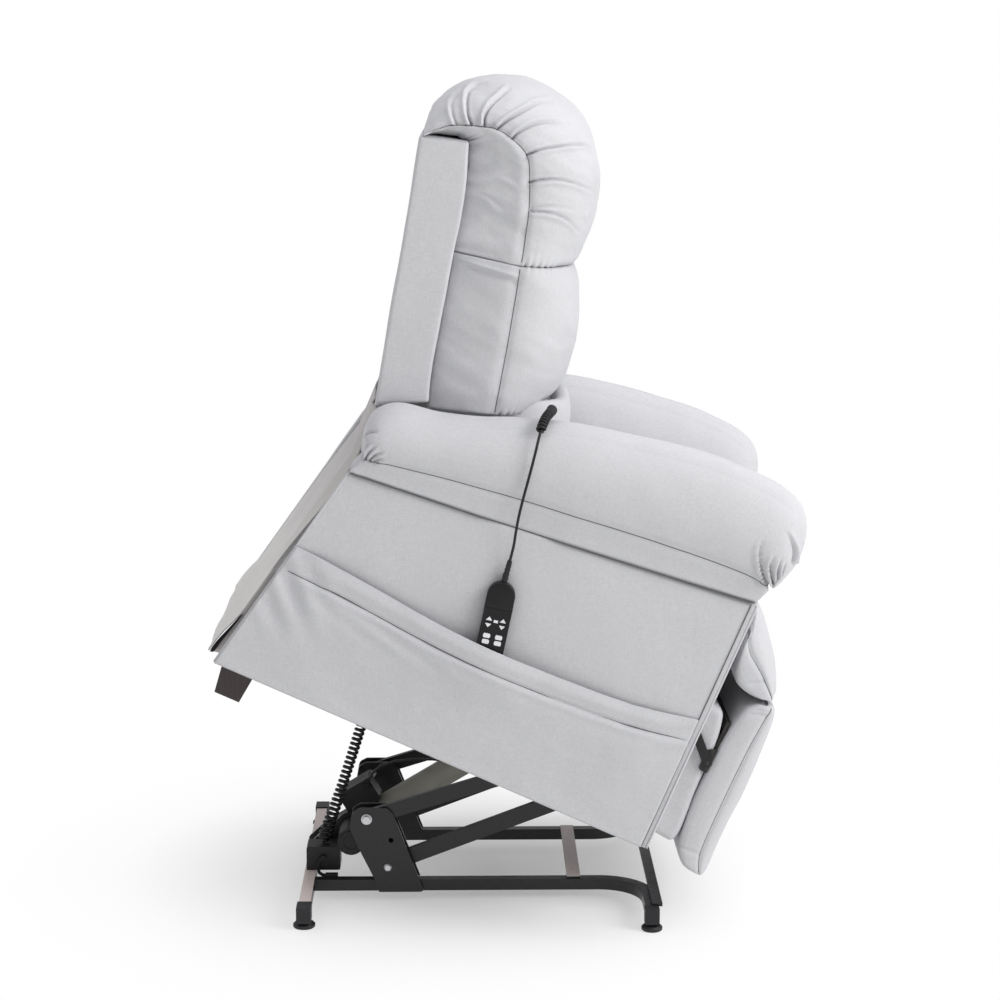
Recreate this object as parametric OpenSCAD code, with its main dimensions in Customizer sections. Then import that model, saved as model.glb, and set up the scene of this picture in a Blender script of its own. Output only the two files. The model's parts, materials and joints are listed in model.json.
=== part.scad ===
// Riser recliner chair, fully raised, on a floor-standing lift base.
// X points to the front of the chair, Z up and -Y to the sitter's right.
// The origin is on the floor under the middle of the rear right glide.

/* [Lift] */
// Forward tilt of the seat when the chair is fully raised, degrees
tilt = 24.32; // [20:0.01:26]
// Position of the seat's rear bottom corner when raised, along X
rear_x = -433; // [-440:1:-425]
// Height of the seat's rear bottom corner when raised
rear_z = 485.4; // [480:0.1:492]
// Length of the upper lift link between pivots
upper_len = 380; // [376:1:384]
// Angle of the upper lift link when raised
upper_ang = 17; // [16.5:0.1:17.5]
// Length of the lower lift link between pivots
lower_len = 423; // [419:1:427]
// Angle of the lower lift link when raised
lower_ang = 20.7; // [20.2:0.1:21.2]
// Diameter of the hinge pins of the lift
pin_d = 10; // [8:1:12]

/* [Base] */
// Height of the underside of the base tubes above the floor
tube_z = 17; // [15:1:20]
// Section of the square base tubes
tube = 20; // [18:1:22]
// Half distance between the centre lines of the two long rails
rail_y = 146; // [144:1:148]
// Centre-line radius of the bend at the front of each rail
bend_r = 83; // [78:1:88]

/* [Seat] */
// Half width over the side panels
panel_y = 386; // [380:1:390]
// Half width of the space between the arms
inner_y = 272; // [270:1:276]
// Half width over the arm pads
arm_y = 405; // [398:1:410]
// Length of the side panel along its bottom edge
seat_len = 780; // [774:1:784]
// Height of the rear feet under the side panels
leg_h = 50; // [40:1:60]

/* [Back] */
// Half width of the upper back
back_y = 294; // [285:1:298]
// Half width of the back pillows
pillow_y = 298; // [285:1:300]

/* [Footrest] */
// Length of each footrest link between pivots
link_len = 200; // [198:1:202]
// Half width of the ottoman and chaise pads
pad_y = 246; // [240:1:247]

/* [Handset] */
// Width of the handset
handset_w = 46; // [44:1:50]
// Length of the handset
handset_l = 152; // [148:1:160]

/* [Hidden] */
$fn = 48;

grey = [0.77, 0.77, 0.79];
black = [0.09, 0.09, 0.10];
silver = [0.75, 0.75, 0.76];
wood = [0.55, 0.40, 0.26];

clearance = 0.1;  // on the diameter of a hinge pin
small_pin_d = 8;  // pins of the footrest and of the recline motor

// Base, in plan and height
tube_wall = 1.8;
tube_top = tube_z + tube;
glide_x = 295;    // rear glides and rear tube, behind the base's own origin
glide_y = 295;
front_x = 298;    // centre line of the rails' outturned front ends
rear_end = 300;   // half length of the rear tube
rail_end = 312;   // half width over the front ends of the rails

// Pivots are [x, z]. Those of the lift base are in the base frame.
base_upper = [-192, 150];
base_lower = [-155.5, 61.6];
upper_end = base_upper + upper_len * heading(upper_ang);
lower_end = base_lower + lower_len * heading(lower_ang);
motor_pivot = [-222, 92];

// Pivots in the level frame of the seat
seat_upper = to_seat(upper_end);
seat_lower = to_seat(lower_end);
lift_rod_pivot = [640, 140];
back_pivot = [135, 300];
back_bar = [152, 232];
recline_pivot = [560, 215];

// Actuator lines, pivot to pivot
lift_line = to_base(lift_rod_pivot) - motor_pivot;
lift_ang = slope(lift_line);
lift_len = norm(lift_line);
recline_line = back_bar - recline_pivot;
recline_ang = slope(recline_line);
recline_len = norm(recline_line);

// Footrest linkage, in the seat frame
rest_ang = 32;    // direction in which the ottoman travels
fold = 77.4;      // angle of the drive link to that direction
drive_pivot = [766, 104];
stay_pivot = [726, 89];
knee = drive_pivot + link_len * heading(rest_ang + fold);
ottoman_pivot = drive_pivot + 2 * link_len * cos(fold) * heading(rest_ang);
stay_end = knee - 20 * heading(slope(ottoman_pivot - knee));

// Spans across the chair are [y0, y1], given for the right side
outer_face = -164;   // outer face of the outer pivot plate
inner_face = -130;   // inner face of the inner pivot plate
upper_link_span = [-159, -148];
lower_link_span = [-146, -135];
drive_span = [-256, -252];
carrier_span = [-261, -257];
stay_span = [-266, -262];

// ---- vectors and frames ----
function heading(angle) = [cos(angle), sin(angle)];
function slope(v) = atan2(v[1], v[0]);
function unit(v) = v / norm(v);
function to_seat(p) =
  let (d = p - [rear_x, rear_z])
  [d[0] * cos(tilt) - d[1] * sin(tilt), d[0] * sin(tilt) + d[1] * cos(tilt)];
function to_base(p) = [
  rear_x + p[0] * cos(tilt) + p[1] * sin(tilt),
  rear_z - p[0] * sin(tilt) + p[1] * cos(tilt)
];
function across(half) = [-half, half];

module placed() { translate([glide_x, glide_y, 0]) children(); }
module seat() { translate([rear_x, 0, rear_z]) rotate([0, tilt, 0]) children(); }
module along(pivot, angle) {
  translate([pivot[0], 0, pivot[1]]) rotate([0, -angle, 0]) children();
}
module both() {
  children();
  mirror([0, 1, 0]) children();
}

// ---- outlines ----
// An outline point is [x, z, corner radius], or [x, z] where all corners are sharp.
function corner(before, at, after, radius, steps) =
  radius <= 0 ? [at] :
  let (
    back = unit(before - at),
    ahead = unit(after - at),
    half = acos(max(-1, min(1, back * ahead))) / 2
  )
  half > 85 ? [at] :  // nearly straight
  let (
    cut = min(radius / tan(half), norm(before - at) * 0.49, norm(after - at) * 0.49),
    r = cut * tan(half),
    centre = at + unit(back + ahead) * r / sin(half),
    start = slope(at + back * cut - centre),
    turn = slope(at + ahead * cut - centre) - start,
    sweep = turn > 180 ? turn - 360 : (turn < -180 ? turn + 360 : turn)
  )
  [for (i = [0:steps]) centre + r * heading(start + sweep * i / steps)];
function flat(p) = [p[0], p[1]];
function outline(points, steps = 5) =
  let (n = len(points))
  [for (i = [0:n - 1]) each len(points[i]) < 3 ? [points[i]] :
    corner(flat(points[(i + n - 1) % n]), flat(points[i]), flat(points[(i + 1) % n]),
      points[i][2], steps)];

// Strip of the given width along a path
function normal(path, i) =
  let (t = unit(path[min(len(path) - 1, i + 1)] - path[max(0, i - 1)]))
  [-t[1], t[0]];
function ribbon(path, width) = concat(
  [for (i = [0:len(path) - 1]) path[i] + normal(path, i) * width / 2],
  [for (i = [len(path) - 1:-1:0]) path[i] - normal(path, i) * width / 2]);

// ---- shapes ----
module slab(span) {
  translate([0, span[1], 0]) rotate([90, 0, 0]) linear_extrude(span[1] - span[0]) children();
}
module plate(span, points) { slab(span) polygon(outline(points)); }
module prism_x(length) { rotate([90, 0, 90]) linear_extrude(length) children(); }
module box(low, high) { translate(low) cube(high - low); }
module cyl_x(x, length, d) {
  translate([x, 0, 0]) rotate([0, 90, 0]) cylinder(h = length, d = d);
}
module cyl_y(at, span, d, sides = 48) {
  translate([at[0], span[1], at[1]]) rotate([90, 0, 0])
    cylinder(h = span[1] - span[0], d = d, $fn = sides);
}
// cutter that passes through the span
module hole(at, span, d) { cyl_y(at, span + [-1, 1], d); }
// square tube open at both ends along the axis numbered 0 for X, 1 for Y
module hollow(low, high, axis) {
  inset = [for (i = [0:2]) i == axis ? -1 : tube_wall];
  difference() {
    box(low, high);
    box(low + inset, high - inset);
  }
}
module round_bar(from, to, width) {
  reach = norm(to - from) + width / 2;
  half = width / 2;
  r = half - 0.01;
  translate(from) rotate(slope(to - from)) polygon(outline(
    [[-half, -half, r], [reach, -half, r], [reach, half, r], [-half, half, r]], 8));
}
// holes are [point, diameter]; head is the diameter of a disc on the far end
module link(span, from, to, width, holes, head = 0) {
  difference() {
    slab(span) union() {
      round_bar(from, to, width);
      if (head > 0) translate(to) circle(d = head);
    }
    for (h = holes) hole(h[0], span, h[1]);
  }
}
// actuator rod ending in an eye centred on x = tip
module eye_rod(tip, reach, length, d, eye_half, bore) {
  difference() {
    union() {
      cyl_x(tip - reach, length, d);
      cyl_y([tip, 0], across(eye_half), 40);
    }
    hole([tip, 0], across(eye_half), bore);
  }
}

// ---- base ----
module base_rear_tube() {
  color(black) hollow([-glide_x - tube / 2, -rear_end, tube_z],
    [-glide_x + tube / 2, rear_end, tube_top], 1);
}
// straight run, quarter bend, then an outturned end
module rail() {
  half = tube / 2;
  bend_y = -rail_y - bend_r;
  translate([0, 0, tube_z]) {
    hollow([half - glide_x, -rail_y - half, 0], [front_x - bend_r, -rail_y + half, tube], 0);
    translate([front_x - bend_r, bend_y, 0]) rotate_extrude(angle = 90, $fn = 96) difference() {
      translate([bend_r - half, 0]) square(tube);
      translate([bend_r - half + tube_wall, tube_wall]) square(tube - 2 * tube_wall);
    }
    hollow([front_x - half, -rail_end, 0], [front_x + half, bend_y, tube], 1);
  }
}
module base_side_rails() { color(black) both() rail(); }
module base_front_bar() { color(black) box([299, -306, tube_top], [317, 306, tube_top + 5]); }
module base_cross_strap() { color(black) box([160, -152, tube_top], [184, 152, tube_top + 3]); }

// block from y0 to y1 with a pocket for a tube that ends at tube_end
module sleeve(x, y0, y1, tube_end) {
  half = 12.5;
  gap = 0.2;
  difference() {
    box([x - half, y0, 12], [x + half, y1, 39.5]);
    box([x - tube / 2 - gap, tube_end - gap, tube_z - gap],
      [x + tube / 2 + gap, y1 + 1, tube_top + gap]);
  }
}
module foot_sleeves() {
  color(black) both() {
    sleeve(-glide_x, -316, -278, -rear_end);
    sleeve(front_x, -330, -306.5, -rail_end);
  }
}
module foot_glides() {
  glides = [[-glide_x, -glide_y, 38], [front_x, -319, 36]];  // x, y, diameter
  color(black) both() for (g = glides) translate([g[0], g[1], 0]) {
    r = g[2] / 2;
    rotate_extrude() polygon(
      [[0, 0], [r - 2, 0], [r, 2], [r, 6], [r - 3, 9], [7, 9], [7, 12], [0, 12]]);
  }
}

module pivot_plates() {
  thick = 4;
  inner_y0 = inner_face - thick;
  profile = [
    [-222, 134, 4], [-217, 163, 12], [-203, 170, 8], [-156, 170, 8], [-146, 160, 6],
    [-92, 19, 3], [-99, 17, 2], [-171, 17, 2], [-178, 39, 10], [-202, 88, 10]];
  color(black) both() for (y = [outer_face, inner_y0]) difference() {
    span = [y, y + thick];
    plate(span, profile);
    hole(base_upper, span, pin_d + clearance);
    hole(base_lower, span, pin_d + clearance);
    hole([-149.5, 111.5], span, 9);
    // the inner plate stops level with the top of the rail
    if (y == inner_y0) box([-300, -136.01, 16], [0, inner_face, tube_top]);
  }
}
module upper_pivot_bolts() {
  washer_y = outer_face - 1.5;
  color(silver) both() {
    cyl_y(base_upper, [outer_face - 2, inner_face + 2], pin_d);
    cyl_y(base_upper, [washer_y, outer_face], 19);
    cyl_y(base_upper, [washer_y - 6.5, washer_y], 15, 6);
    cyl_y(base_upper, [inner_face, inner_face + 6], 16, 6);
  }
}
module lower_pivot_rivets() {
  color(silver) both() {
    cyl_y(base_lower, [outer_face, inner_face + 2], pin_d);
    translate([base_lower[0], outer_face, base_lower[1]]) rotate([90, 0, 0])
      cylinder(h = 3, d1 = 15, d2 = 10);
    cyl_y(base_lower, [inner_face, inner_face + 3], 16);
  }
}

module lift_motor_bracket() {
  left_span = [24, 29];
  right_span = [-34, -28];
  left_ear = [
    [-305, 37, 0], [-285, 37, 0], [-250, 52, 8], [-207, 74, 12],
    [-207, 108, 14], [-238, 108, 14], [-270, 92, 8], [-305, 60, 8]];
  right_ear = [
    [-305, 37, 0], [-285, 37, 0], [-250, 44, 8], [-215, 66, 4],
    [-240, 118, 4], [-270, 96, 8], [-305, 60, 8]];
  color(black) {
    difference() {
      plate(left_span, left_ear);
      hole(motor_pivot, left_span, pin_d + clearance);
    }
    difference() {
      slab(right_span) union() {
        polygon(outline(right_ear));
        translate(motor_pivot) circle(d = 66);
      }
      hole(motor_pivot, right_span, 48 + clearance);
    }
    cyl_y(motor_pivot, [18, 29], pin_d);
    cyl_y(motor_pivot, [29, 33], 16, 6);
  }
}
module junction_box() {
  color(black) difference() {
    plate([-100, -52], [[-302, 37, 0], [-242, 37, 3], [-242, 80, 4], [-302, 80, 4]]);
    box([-298, -98, 41], [-246, -54, 76]);
  }
}
module mains_lead() {
  path = [[-272, 62], [-278, 59], [-281, 52], [-281, 42], [-279, 34], [-273, 30], [-266, 29]];
  color(black) {
    plate([-109, -104], ribbon(path, 5));
    cyl_y(path[0], [-109, -100], 9);
    translate([0, -106.5, 29]) cyl_x(-268, 22, 11);
  }
}
// coils drawn as rings around a core, with a plain length at each end
module coil_cord() {
  bottom = [-268, 82];
  run = [-172, 400] - bottom;
  length = norm(run);
  plain = 8;
  coils = 34;
  pitch = (length - 2 * plain) / coils;
  rings = [for (i = [0:coils - 1]) each [
    [7, plain + pitch * (i + 0.15)], [7, plain + pitch * (i + 0.5)],
    [5, plain + pitch * (i + 0.65)], [5, plain + pitch * (i + 0.99)]]];
  color(black) translate([bottom[0], -76, bottom[1]]) rotate([0, atan2(run[0], run[1]), 0])
    rotate_extrude($fn = 32) polygon(concat(
      [[0, 0], [4, 0], [4, plain]], rings, [[4, length - plain], [4, length], [0, length]]));
}

// ---- lift links ----
module lower_lift_links() {
  crossbar = base_lower + 385 * heading(lower_ang);
  bore = pin_d + clearance;
  color(black) union() {
    both() link(lower_link_span, base_lower, lower_end, 28,
      [[base_lower, bore], [lower_end, bore]]);
    cyl_y(crossbar, across(140), 20);
  }
}
module upper_lift_links() {
  color(black) both() link(upper_link_span, base_upper, upper_end, 26,
    [[base_upper, pin_d + clearance], [upper_end, 22]], head = 34);
}

// ---- lift actuator, drawn along its own axis from the rear pivot ----
module on_lift() { along(motor_pivot, lift_ang) children(); }
module lift_motor() {
  color(black) difference() {
    union() {
      on_lift() box([-24, -22, -26], [62, 22, 26]);
      cyl_y(motor_pivot, [-111, -20], 48);
      cyl_y(motor_pivot, [-113, -111], 40);
      on_lift() box([8, -27.5, 22], [72, 27.5, 66]);
    }
    cyl_y(motor_pivot, [10, 23], pin_d + clearance);
    cyl_y(motor_pivot, [-114, -112], 26);
  }
}
module lift_outer_tube() {
  color([0.62, 0.60, 0.55]) on_lift() difference() {
    union() {
      cyl_x(62, 330, 42);
      box([62, -15, -24], [380, 15, 0]);
    }
    cyl_x(190, 210, 26);
  }
}
module lift_motor_leads() {
  path = [[62, 56], [84, 70], [104, 74], [130, 68], [160, 54], [190, 36], [214, 18]];
  color(black) on_lift() {
    plate([-32, -28], ribbon(path, 4));
    box([58, -32, 50], [68, -27.5, 60]);
  }
}
module lift_rod() {
  color(silver) on_lift()
    eye_rod(lift_len, reach = 200, length = 186, d = 20, eye_half = 7, bore = 27);
}

// ---- seat: everything below is drawn level, in the seat's own frame ----
// open-bottomed shell, hollow between its two faces
module side_panel() {
  seat() difference() {
    plate([-panel_y, -inner_y], [[0, 0], [seat_len, 0], [seat_len - 8, 455], [75, 383]]);
    plate([-panel_y + 12, -inner_y - 14],
      [[16, -1], [seat_len - 16, -1], [seat_len - 23, 438], [84, 368]]);
  }
}
module side_panel_right() { color(grey) side_panel(); }
module side_panel_left() { color(grey) mirror([0, 1, 0]) side_panel(); }
module side_frames() {
  span = [-352, -326];
  color(wood) both() seat() difference() {
    plate(span, [[18, 0], [seat_len - 18, 0], [seat_len - 25, 436], [85, 366]]);
    plate(span + [-1, 1], [[70, 45], [seat_len - 66, 45], [seat_len - 72, 382], [122, 322]]);
  }
}
// side outline crossed with a section [y, z, radius] that follows the sloping panel top
module arm_pad() {
  side = [
    [76, 384.5, 4], [72, 474, 14], [104, 513, 16], [170, 523, 60], [250, 551, 60],
    [376, 602, 60], [450, 616, 60], [546, 634, 60], [637, 647, 60], [740, 645, 40],
    [800, 612, 26], [813, 560, 24], [806, 500, 20], [772, 456.5, 6]];
  section = [
    [-387, -60, 0], [-387, 24, 2], [-arm_y, 34, 10], [-arm_y, 250, 50],
    [-262, 250, 30], [-262, -60, 0]];
  seat() intersection() {
    plate([-arm_y, -262], side);
    translate([75, 0, 383]) rotate([0, -9, 0]) translate([-60, 0, 0])
      prism_x(900) polygon(outline(section));
  }
}
module arm_pad_right() { color(grey) arm_pad(); }
module arm_pad_left() { color(grey) mirror([0, 1, 0]) arm_pad(); }
module side_pocket() {
  section = [  // y, z
    [-389, 3], [-411.5, 140], [-411.5, 250], [-408.8, 250], [-408.8, 141], [-386.6, 4]];
  side = [
    [2, 2, 0], [seat_len - 2, 2, 0], [seat_len - 8, 234, 4],
    [540, 211, 200], [300, 211, 200], [46, 232, 4]];
  color(grey) seat() intersection() {
    prism_x(seat_len) polygon(section);
    plate([-420, -380], side);
  }
}

frame_z = 286;  // underside of the seat's steel frame
module seat_steel_frame() {
  cross_tubes = [[196, 216, 249], [748, 770, 248], [680, 700, 172], [550, 570, 172]];
  color(black) seat() {
    both() box([172, -192, frame_z], [772, -172, frame_z + 24]);
    for (t = cross_tubes)  // x0, x1, half length
      box([t[0], -t[2], frame_z], [t[1], t[2], frame_z + 20]);
    both() box([176, -249, 262], [216, -247, frame_z]);
  }
}
module lift_brackets() {
  link_bracket = [
    [560, 286, 0], [612, 60, 20], [628, 14, 16], [740, 4, 14],
    [752, 50, 14], [712, 190, 20], [712, 286, 0]];
  rod_ear = [
    [678, 286, 0], [702, 286, 0], [664, 132, 8], [648, 122, 10],
    [626, 124, 10], [624, 152, 10]];
  recline_ear = [
    [552, 286, 0], [572, 286, 0], [574, 212, 8], [570, 199, 8],
    [553, 199, 6], [549.6, 212, 6]];
  bracket_y = -166;  // inner face of the link bracket
  color(black) seat() {
    both() {
      plate([bracket_y - 5, bracket_y], link_bracket);
      cyl_y(seat_upper, [bracket_y, -147], 8);
      cyl_y(seat_lower, [bracket_y, -133], pin_d);
      cyl_y(seat_lower, [-133, -130], 15);
    }
    both() plate([-25, -20], rod_ear);
    cyl_y(lift_rod_pivot, across(27), 8);
    both() plate([-27, -23], recline_ear);
    cyl_y(recline_pivot, across(28), small_pin_d);
  }
}

// Five zigzag springs, each a sine strip along X
spring_steps = 54;
function spring_point(i, offset) =
  [200 + 560 * i / spring_steps, offset + 16 * sin(360 * 6 * i / spring_steps)];
module seat_springs() {
  half = 2.4;
  strip = concat(
    [for (i = [0:spring_steps]) spring_point(i, -half)],
    [for (i = [spring_steps:-1:0]) spring_point(i, half)]);
  color([0.35, 0.35, 0.37]) seat() for (y = [-140, -70, 0, 70, 140])
    translate([0, y, 310.2]) linear_extrude(3.6) polygon(strip);
}
module seat_cushion() {
  profile = [
    [232, 322, 10], [800, 322, 16], [806, 404, 20], [794, 438, 26],
    [700, 444, 60], [420, 444, 60], [250, 438, 30], [212, 400, 20]];
  color(grey) seat() plate(across(261), profile);
}
module chaise_pad() {
  profile = [
    [813, 429, 2], [852, 394, 60], [889, 347, 50], [906, 306, 16],
    [897, 290, 8], [872, 280, 12], [840, 290, 20], [813, 324, 12]];
  color(grey) seat() plate(across(pad_y), profile);
}
module front_panel() {
  profile = [
    [783, 276, 2], [806, 274, 8], [818, 260, 10], [829, 148, 0], [841, 37, 0],
    [842, 2, 10], [832, -12, 8], [814, -8, 8], [783, 0, 2]];
  color(grey) seat() plate(across(250), profile);
}
// tapered in both views
module rear_legs() {
  top = leg_h + 1;
  color([0.16, 0.10, 0.08]) both() seat() intersection() {
    plate([-380, -300], [[15, 0], [71, 0], [66, -leg_h], [22, -leg_h]]);
    translate([0, 0, -top]) prism_x(200)
      polygon([[-368, top], [-312, top], [-317, 0], [-363, 0]]);
  }
}
module rear_skirt() {
  color(grey) seat() plate(across(262), [[22, 26], [28, 24], [84, 318], [78, 320]]);
}
module recline_brackets() {
  profile = [
    [112, 262, 10], [216, 240, 10], [216, 306, 0], [165, 322, 14], [112, 322, 14]];
  color(black) seat() both() {
    plate([-254, -249], profile);
    cyl_y(back_pivot, [-249, -238], 12);
    cyl_y(back_pivot, [-238, -235], 18);
    cyl_y([180, 280], [-inner_y, -254], 26);
  }
}
module footrest_brackets() {
  plate_y = -267.5;  // inner face of the bracket
  profile = [
    [700, 66, 12], [782, 66, 12], [784, 128, 12], [720, 128, 12], [700, 112, 12]];
  color(black) seat() both() {
    plate([-inner_y, plate_y], profile);
    cyl_y(drive_pivot, [plate_y, -251.2], small_pin_d);
    cyl_y(stay_pivot, [plate_y, -261.6], small_pin_d);
  }
}

// ---- back ----
module back_frame() {
  side_y = 240;  // inner face of the side plates
  side_span = [-246, -side_y];
  side = [
    [139, 220, 8], [120, 300, 30], [97, 480, 30], [-7, 900, 6], [16, 906, 6],
    [121, 486, 30], [149, 305, 30], [165, 228, 8]];
  color(black) seat() {
    both() difference() {
      plate(side_span, side);
      hole(back_pivot, side_span, 12 + clearance);
    }
    cyl_y(back_bar, across(side_y), 16);
    plate(across(side_y), [[-6, 880], [12, 884], [6, 906], [-8, 902]]);
    plate(across(side_y), [[72, 582], [90, 586], [84, 610], [66, 606]]);
  }
}
module back_shell() {
  upper = [
    [66, 494, 2], [-41, 918, 4], [36, 942, 4], [68, 854, 0], [94, 741, 0],
    [134, 579, 0], [148, 535, 6], [100, 523, 6]];
  lower = [[91, 400], [66, 500], [148, 535], [158, 500], [166, 400]];
  cavity = [[105, 380], [80, 497], [-24, 906], [34, 924], [160, 924], [200, 380]];
  color(grey) seat() difference() {
    union() {
      plate(across(back_y), upper);
      plate(across(262), lower);
    }
    plate(across(250), cavity);
  }
}
module head_pillow() {
  profile = [
    [-40, 921, 4], [-42, 958, 20], [-23, 1003, 30], [0, 1032, 30], [41, 1062, 40],
    [89, 1076, 60], [137, 1075, 60], [192, 1058, 60], [236, 1029, 50], [268, 984, 50],
    [289, 927, 50], [295, 867, 40], [288, 833, 12], [76, 833, 4], [70, 856, 0],
    [38, 944.5, 2]];
  color(grey) seat() plate(across(pillow_y), profile);
}
module middle_pillow() {
  profile = [
    [77, 830, 2], [290, 830, 6], [310, 799, 40], [331, 763, 40], [348, 715, 60],
    [355, 654, 50], [348, 606, 30], [330, 583, 16], [140, 583, 6], [97, 741, 0]];
  color(grey) seat() plate(across(pillow_y), profile);
}
module lumbar_pillow() {
  profile = [
    [142, 577, 2], [334, 577, 4], [356, 606, 10], [372, 612, 10], [390, 590, 20],
    [404, 540, 40], [404, 490, 30], [388, 456, 16], [240, 452, 20], [169, 452, 6],
    [160, 500, 0]];
  color(grey) seat() plate(across(262), profile);
}

// ---- recline actuator, drawn along its own axis from the front pivot ----
module on_recline() { seat() along(recline_pivot, recline_ang) children(); }
module recline_motor() {
  color(black) on_recline() difference() {
    union() {
      box([-14, -21, -17], [52, 21, 17]);
      cyl_y([30, 0], [-90, -20], 34);
      cyl_x(52, 288, 30);
    }
    cyl_y([0, 0], across(30), small_pin_d + clearance);
    cyl_x(140, 210, 20);
  }
}
module recline_rod() {
  color(silver) on_recline()
    eye_rod(recline_len, reach = 190, length = 175, d = 14, eye_half = 6, bore = 28);
}

// ---- footrest ----
rest_bore = small_pin_d + clearance;
module footrest_drive_links() {
  color(black) seat() both() {
    link(drive_span, drive_pivot, knee, 18, [[drive_pivot, rest_bore]]);
    cyl_y(knee, [-261.4, drive_span[0]], small_pin_d);
  }
}
module footrest_carrier_links() {
  color(black) seat() both() {
    link(carrier_span, stay_end, ottoman_pivot, 16,
      [[knee, rest_bore], [ottoman_pivot, rest_bore]]);
    cyl_y(stay_end, [stay_span[0], carrier_span[0]], 6);
  }
}
module footrest_stay_links() {
  color(black) seat() both() link(stay_span, stay_pivot, stay_end, 14,
    [[stay_pivot, rest_bore], [stay_end, 22]], head = 31);
}
module ottoman_board() {
  ear = [[832, 132, 6], [846, 132, 0], [846, 176, 0], [832, 170, 6]];
  color(wood) seat() {
    plate(across(240), [[845, 20], [853, 20], [852, 226], [844, 226]]);
    both() {
      plate([-251, -247], ear);
      box([845.5, -251, 132], [848.5, -240, 176]);
      cyl_y(ottoman_pivot, [-261.4, -250], small_pin_d);
    }
  }
}
// pad with a thin round ridge along its top edge
module ottoman_pad() {
  ridge = [904.5, 287];
  profile = [
    [899, 288, 6], [918, 275, 16], [935, 234, 50], [937, 79, 60], [923, -39, 6],
    [886, -37, 20], [864, -7, 20], [855.5, 20, 4], [854, 232, 20], [866, 274, 16]];
  color(grey) seat() {
    cyl_y(ridge, across(pad_y), 7);
    plate(across(pad_y), profile);
  }
}

// ---- handset, drawn upright about its own centre, keys facing -Y ----
module on_handset() { seat() along([394, 253], 12.4) children(); }
module handset_outline(inset = 0) {
  half = handset_w / 2 - inset;
  shoulder = handset_w / 2 - 8 - inset;
  bottom = -handset_l * 0.52 + inset;
  polygon(outline([
    [-half, bottom, 12], [half, bottom, 12], [half, 34, 20], [shoulder, 62 - inset, 18],
    [0, 70 - inset, 40], [-shoulder - 2 * inset + 2 * inset, 62 - inset, 18],
    [-half, 34, 20]]));
}
// Key centres [x, z]: four arrows, the centre key, four presets
key_places = [
  [-11.5, 7], [-11.5, -4], [11.5, 7], [11.5, -4],
  [0, 4],
  [-10, -21.5], [10, -21.5], [-10, -31.5], [10, -31.5]];
// every second arrow points down; gap widens the shape
module key_shape(k, gap = 0) {
  translate(key_places[k]) {
    if (k < 4) rotate(k % 2 * 180)
      polygon([[-5.2 - gap, -2.8 - gap], [5.2 + gap, -2.8 - gap], [0, 3.6 + 1.6 * gap]]);
    if (k == 4) square([7 + 2 * gap, 4.4 + 2 * gap], center = true);
    if (k > 4) intersection() {
      circle(d = 12 + 2 * gap);
      square([20, 7.4 + 2 * gap], center = true);
    }
  }
}
module handset_front() {
  color(black) on_handset() difference() {
    slab([-406, -397]) handset_outline();
    for (k = [0:8]) slab([-407, -400]) key_shape(k, 0.25);
  }
}
module handset_back() {
  color(black) on_handset() union() {
    slab([-396.9, -388]) handset_outline(1);
    translate([0, -392.5, 66]) cylinder(h = 17, d = 8);
  }
}
module key(k) { color([0.85, 0.85, 0.87]) on_handset() slab([-407.2, -401.8]) key_shape(k); }
module button_recline() { key(0); }
module button_upright() { key(1); }
module button_lift() { key(2); }
module button_lower() { key(3); }
module button_centre() { key(4); }
module button_preset_1() { key(5); }
module button_preset_2() { key(6); }
module button_preset_3() { key(7); }
module button_preset_4() { key(8); }
module handset_cord() {
  outer_y = -413.5;
  path = [
    [376, 344], [371, 360], [365, 383], [359, 408], [353, 430], [348, 452],
    [343, 480], [339, 506], [335, 532], [331, 556], [329, 580], [331, 604]];
  color(black) seat() {
    plate([outer_y, -408.5], ribbon(path, 5));
    plate([outer_y, -394], [[373, 336], [379, 337.5], [378, 347], [372, 345.5]]);
    cyl_y([334, 605], [outer_y, -325], 14);
  }
}

placed() base_rear_tube();
placed() base_side_rails();
placed() base_front_bar();
placed() base_cross_strap();
placed() foot_sleeves();
placed() foot_glides();
placed() pivot_plates();
placed() upper_pivot_bolts();
placed() lower_pivot_rivets();
placed() lift_motor_bracket();
placed() junction_box();
placed() mains_lead();
placed() coil_cord();
placed() lower_lift_links();
placed() upper_lift_links();
placed() lift_motor();
placed() lift_outer_tube();
placed() lift_motor_leads();
placed() lift_rod();
placed() side_frames();
placed() side_panel_right();
placed() side_panel_left();
placed() arm_pad_right();
placed() arm_pad_left();
placed() side_pocket();
placed() seat_steel_frame();
placed() lift_brackets();
placed() seat_springs();
placed() seat_cushion();
placed() chaise_pad();
placed() front_panel();
placed() rear_legs();
placed() rear_skirt();
placed() recline_brackets();
placed() footrest_brackets();
placed() back_frame();
placed() back_shell();
placed() head_pillow();
placed() middle_pillow();
placed() lumbar_pillow();
placed() recline_motor();
placed() recline_rod();
placed() footrest_drive_links();
placed() footrest_carrier_links();
placed() footrest_stay_links();
placed() ottoman_board();
placed() ottoman_pad();
placed() handset_front();
placed() handset_back();
placed() handset_cord();
placed() button_recline();
placed() button_upright();
placed() button_lift();
placed() button_lower();
placed() button_centre();
placed() button_preset_1();
placed() button_preset_2();
placed() button_preset_3();
placed() button_preset_4();
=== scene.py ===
"""Lift recliner, shown tipped forward.

World: metres, +X to the sitter's front, -Y to the sitter's right, +Z up, origin at the rear
right glide. The upholstery is laid out in the seat frame, in millimetres (u, y, v): u runs to
the front along the seat and dips by TILT, v runs up square to it, y = 0 is the middle.
"""
import json
import math

import bmesh
import bpy
import numpy as np
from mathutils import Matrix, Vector, noise


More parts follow.
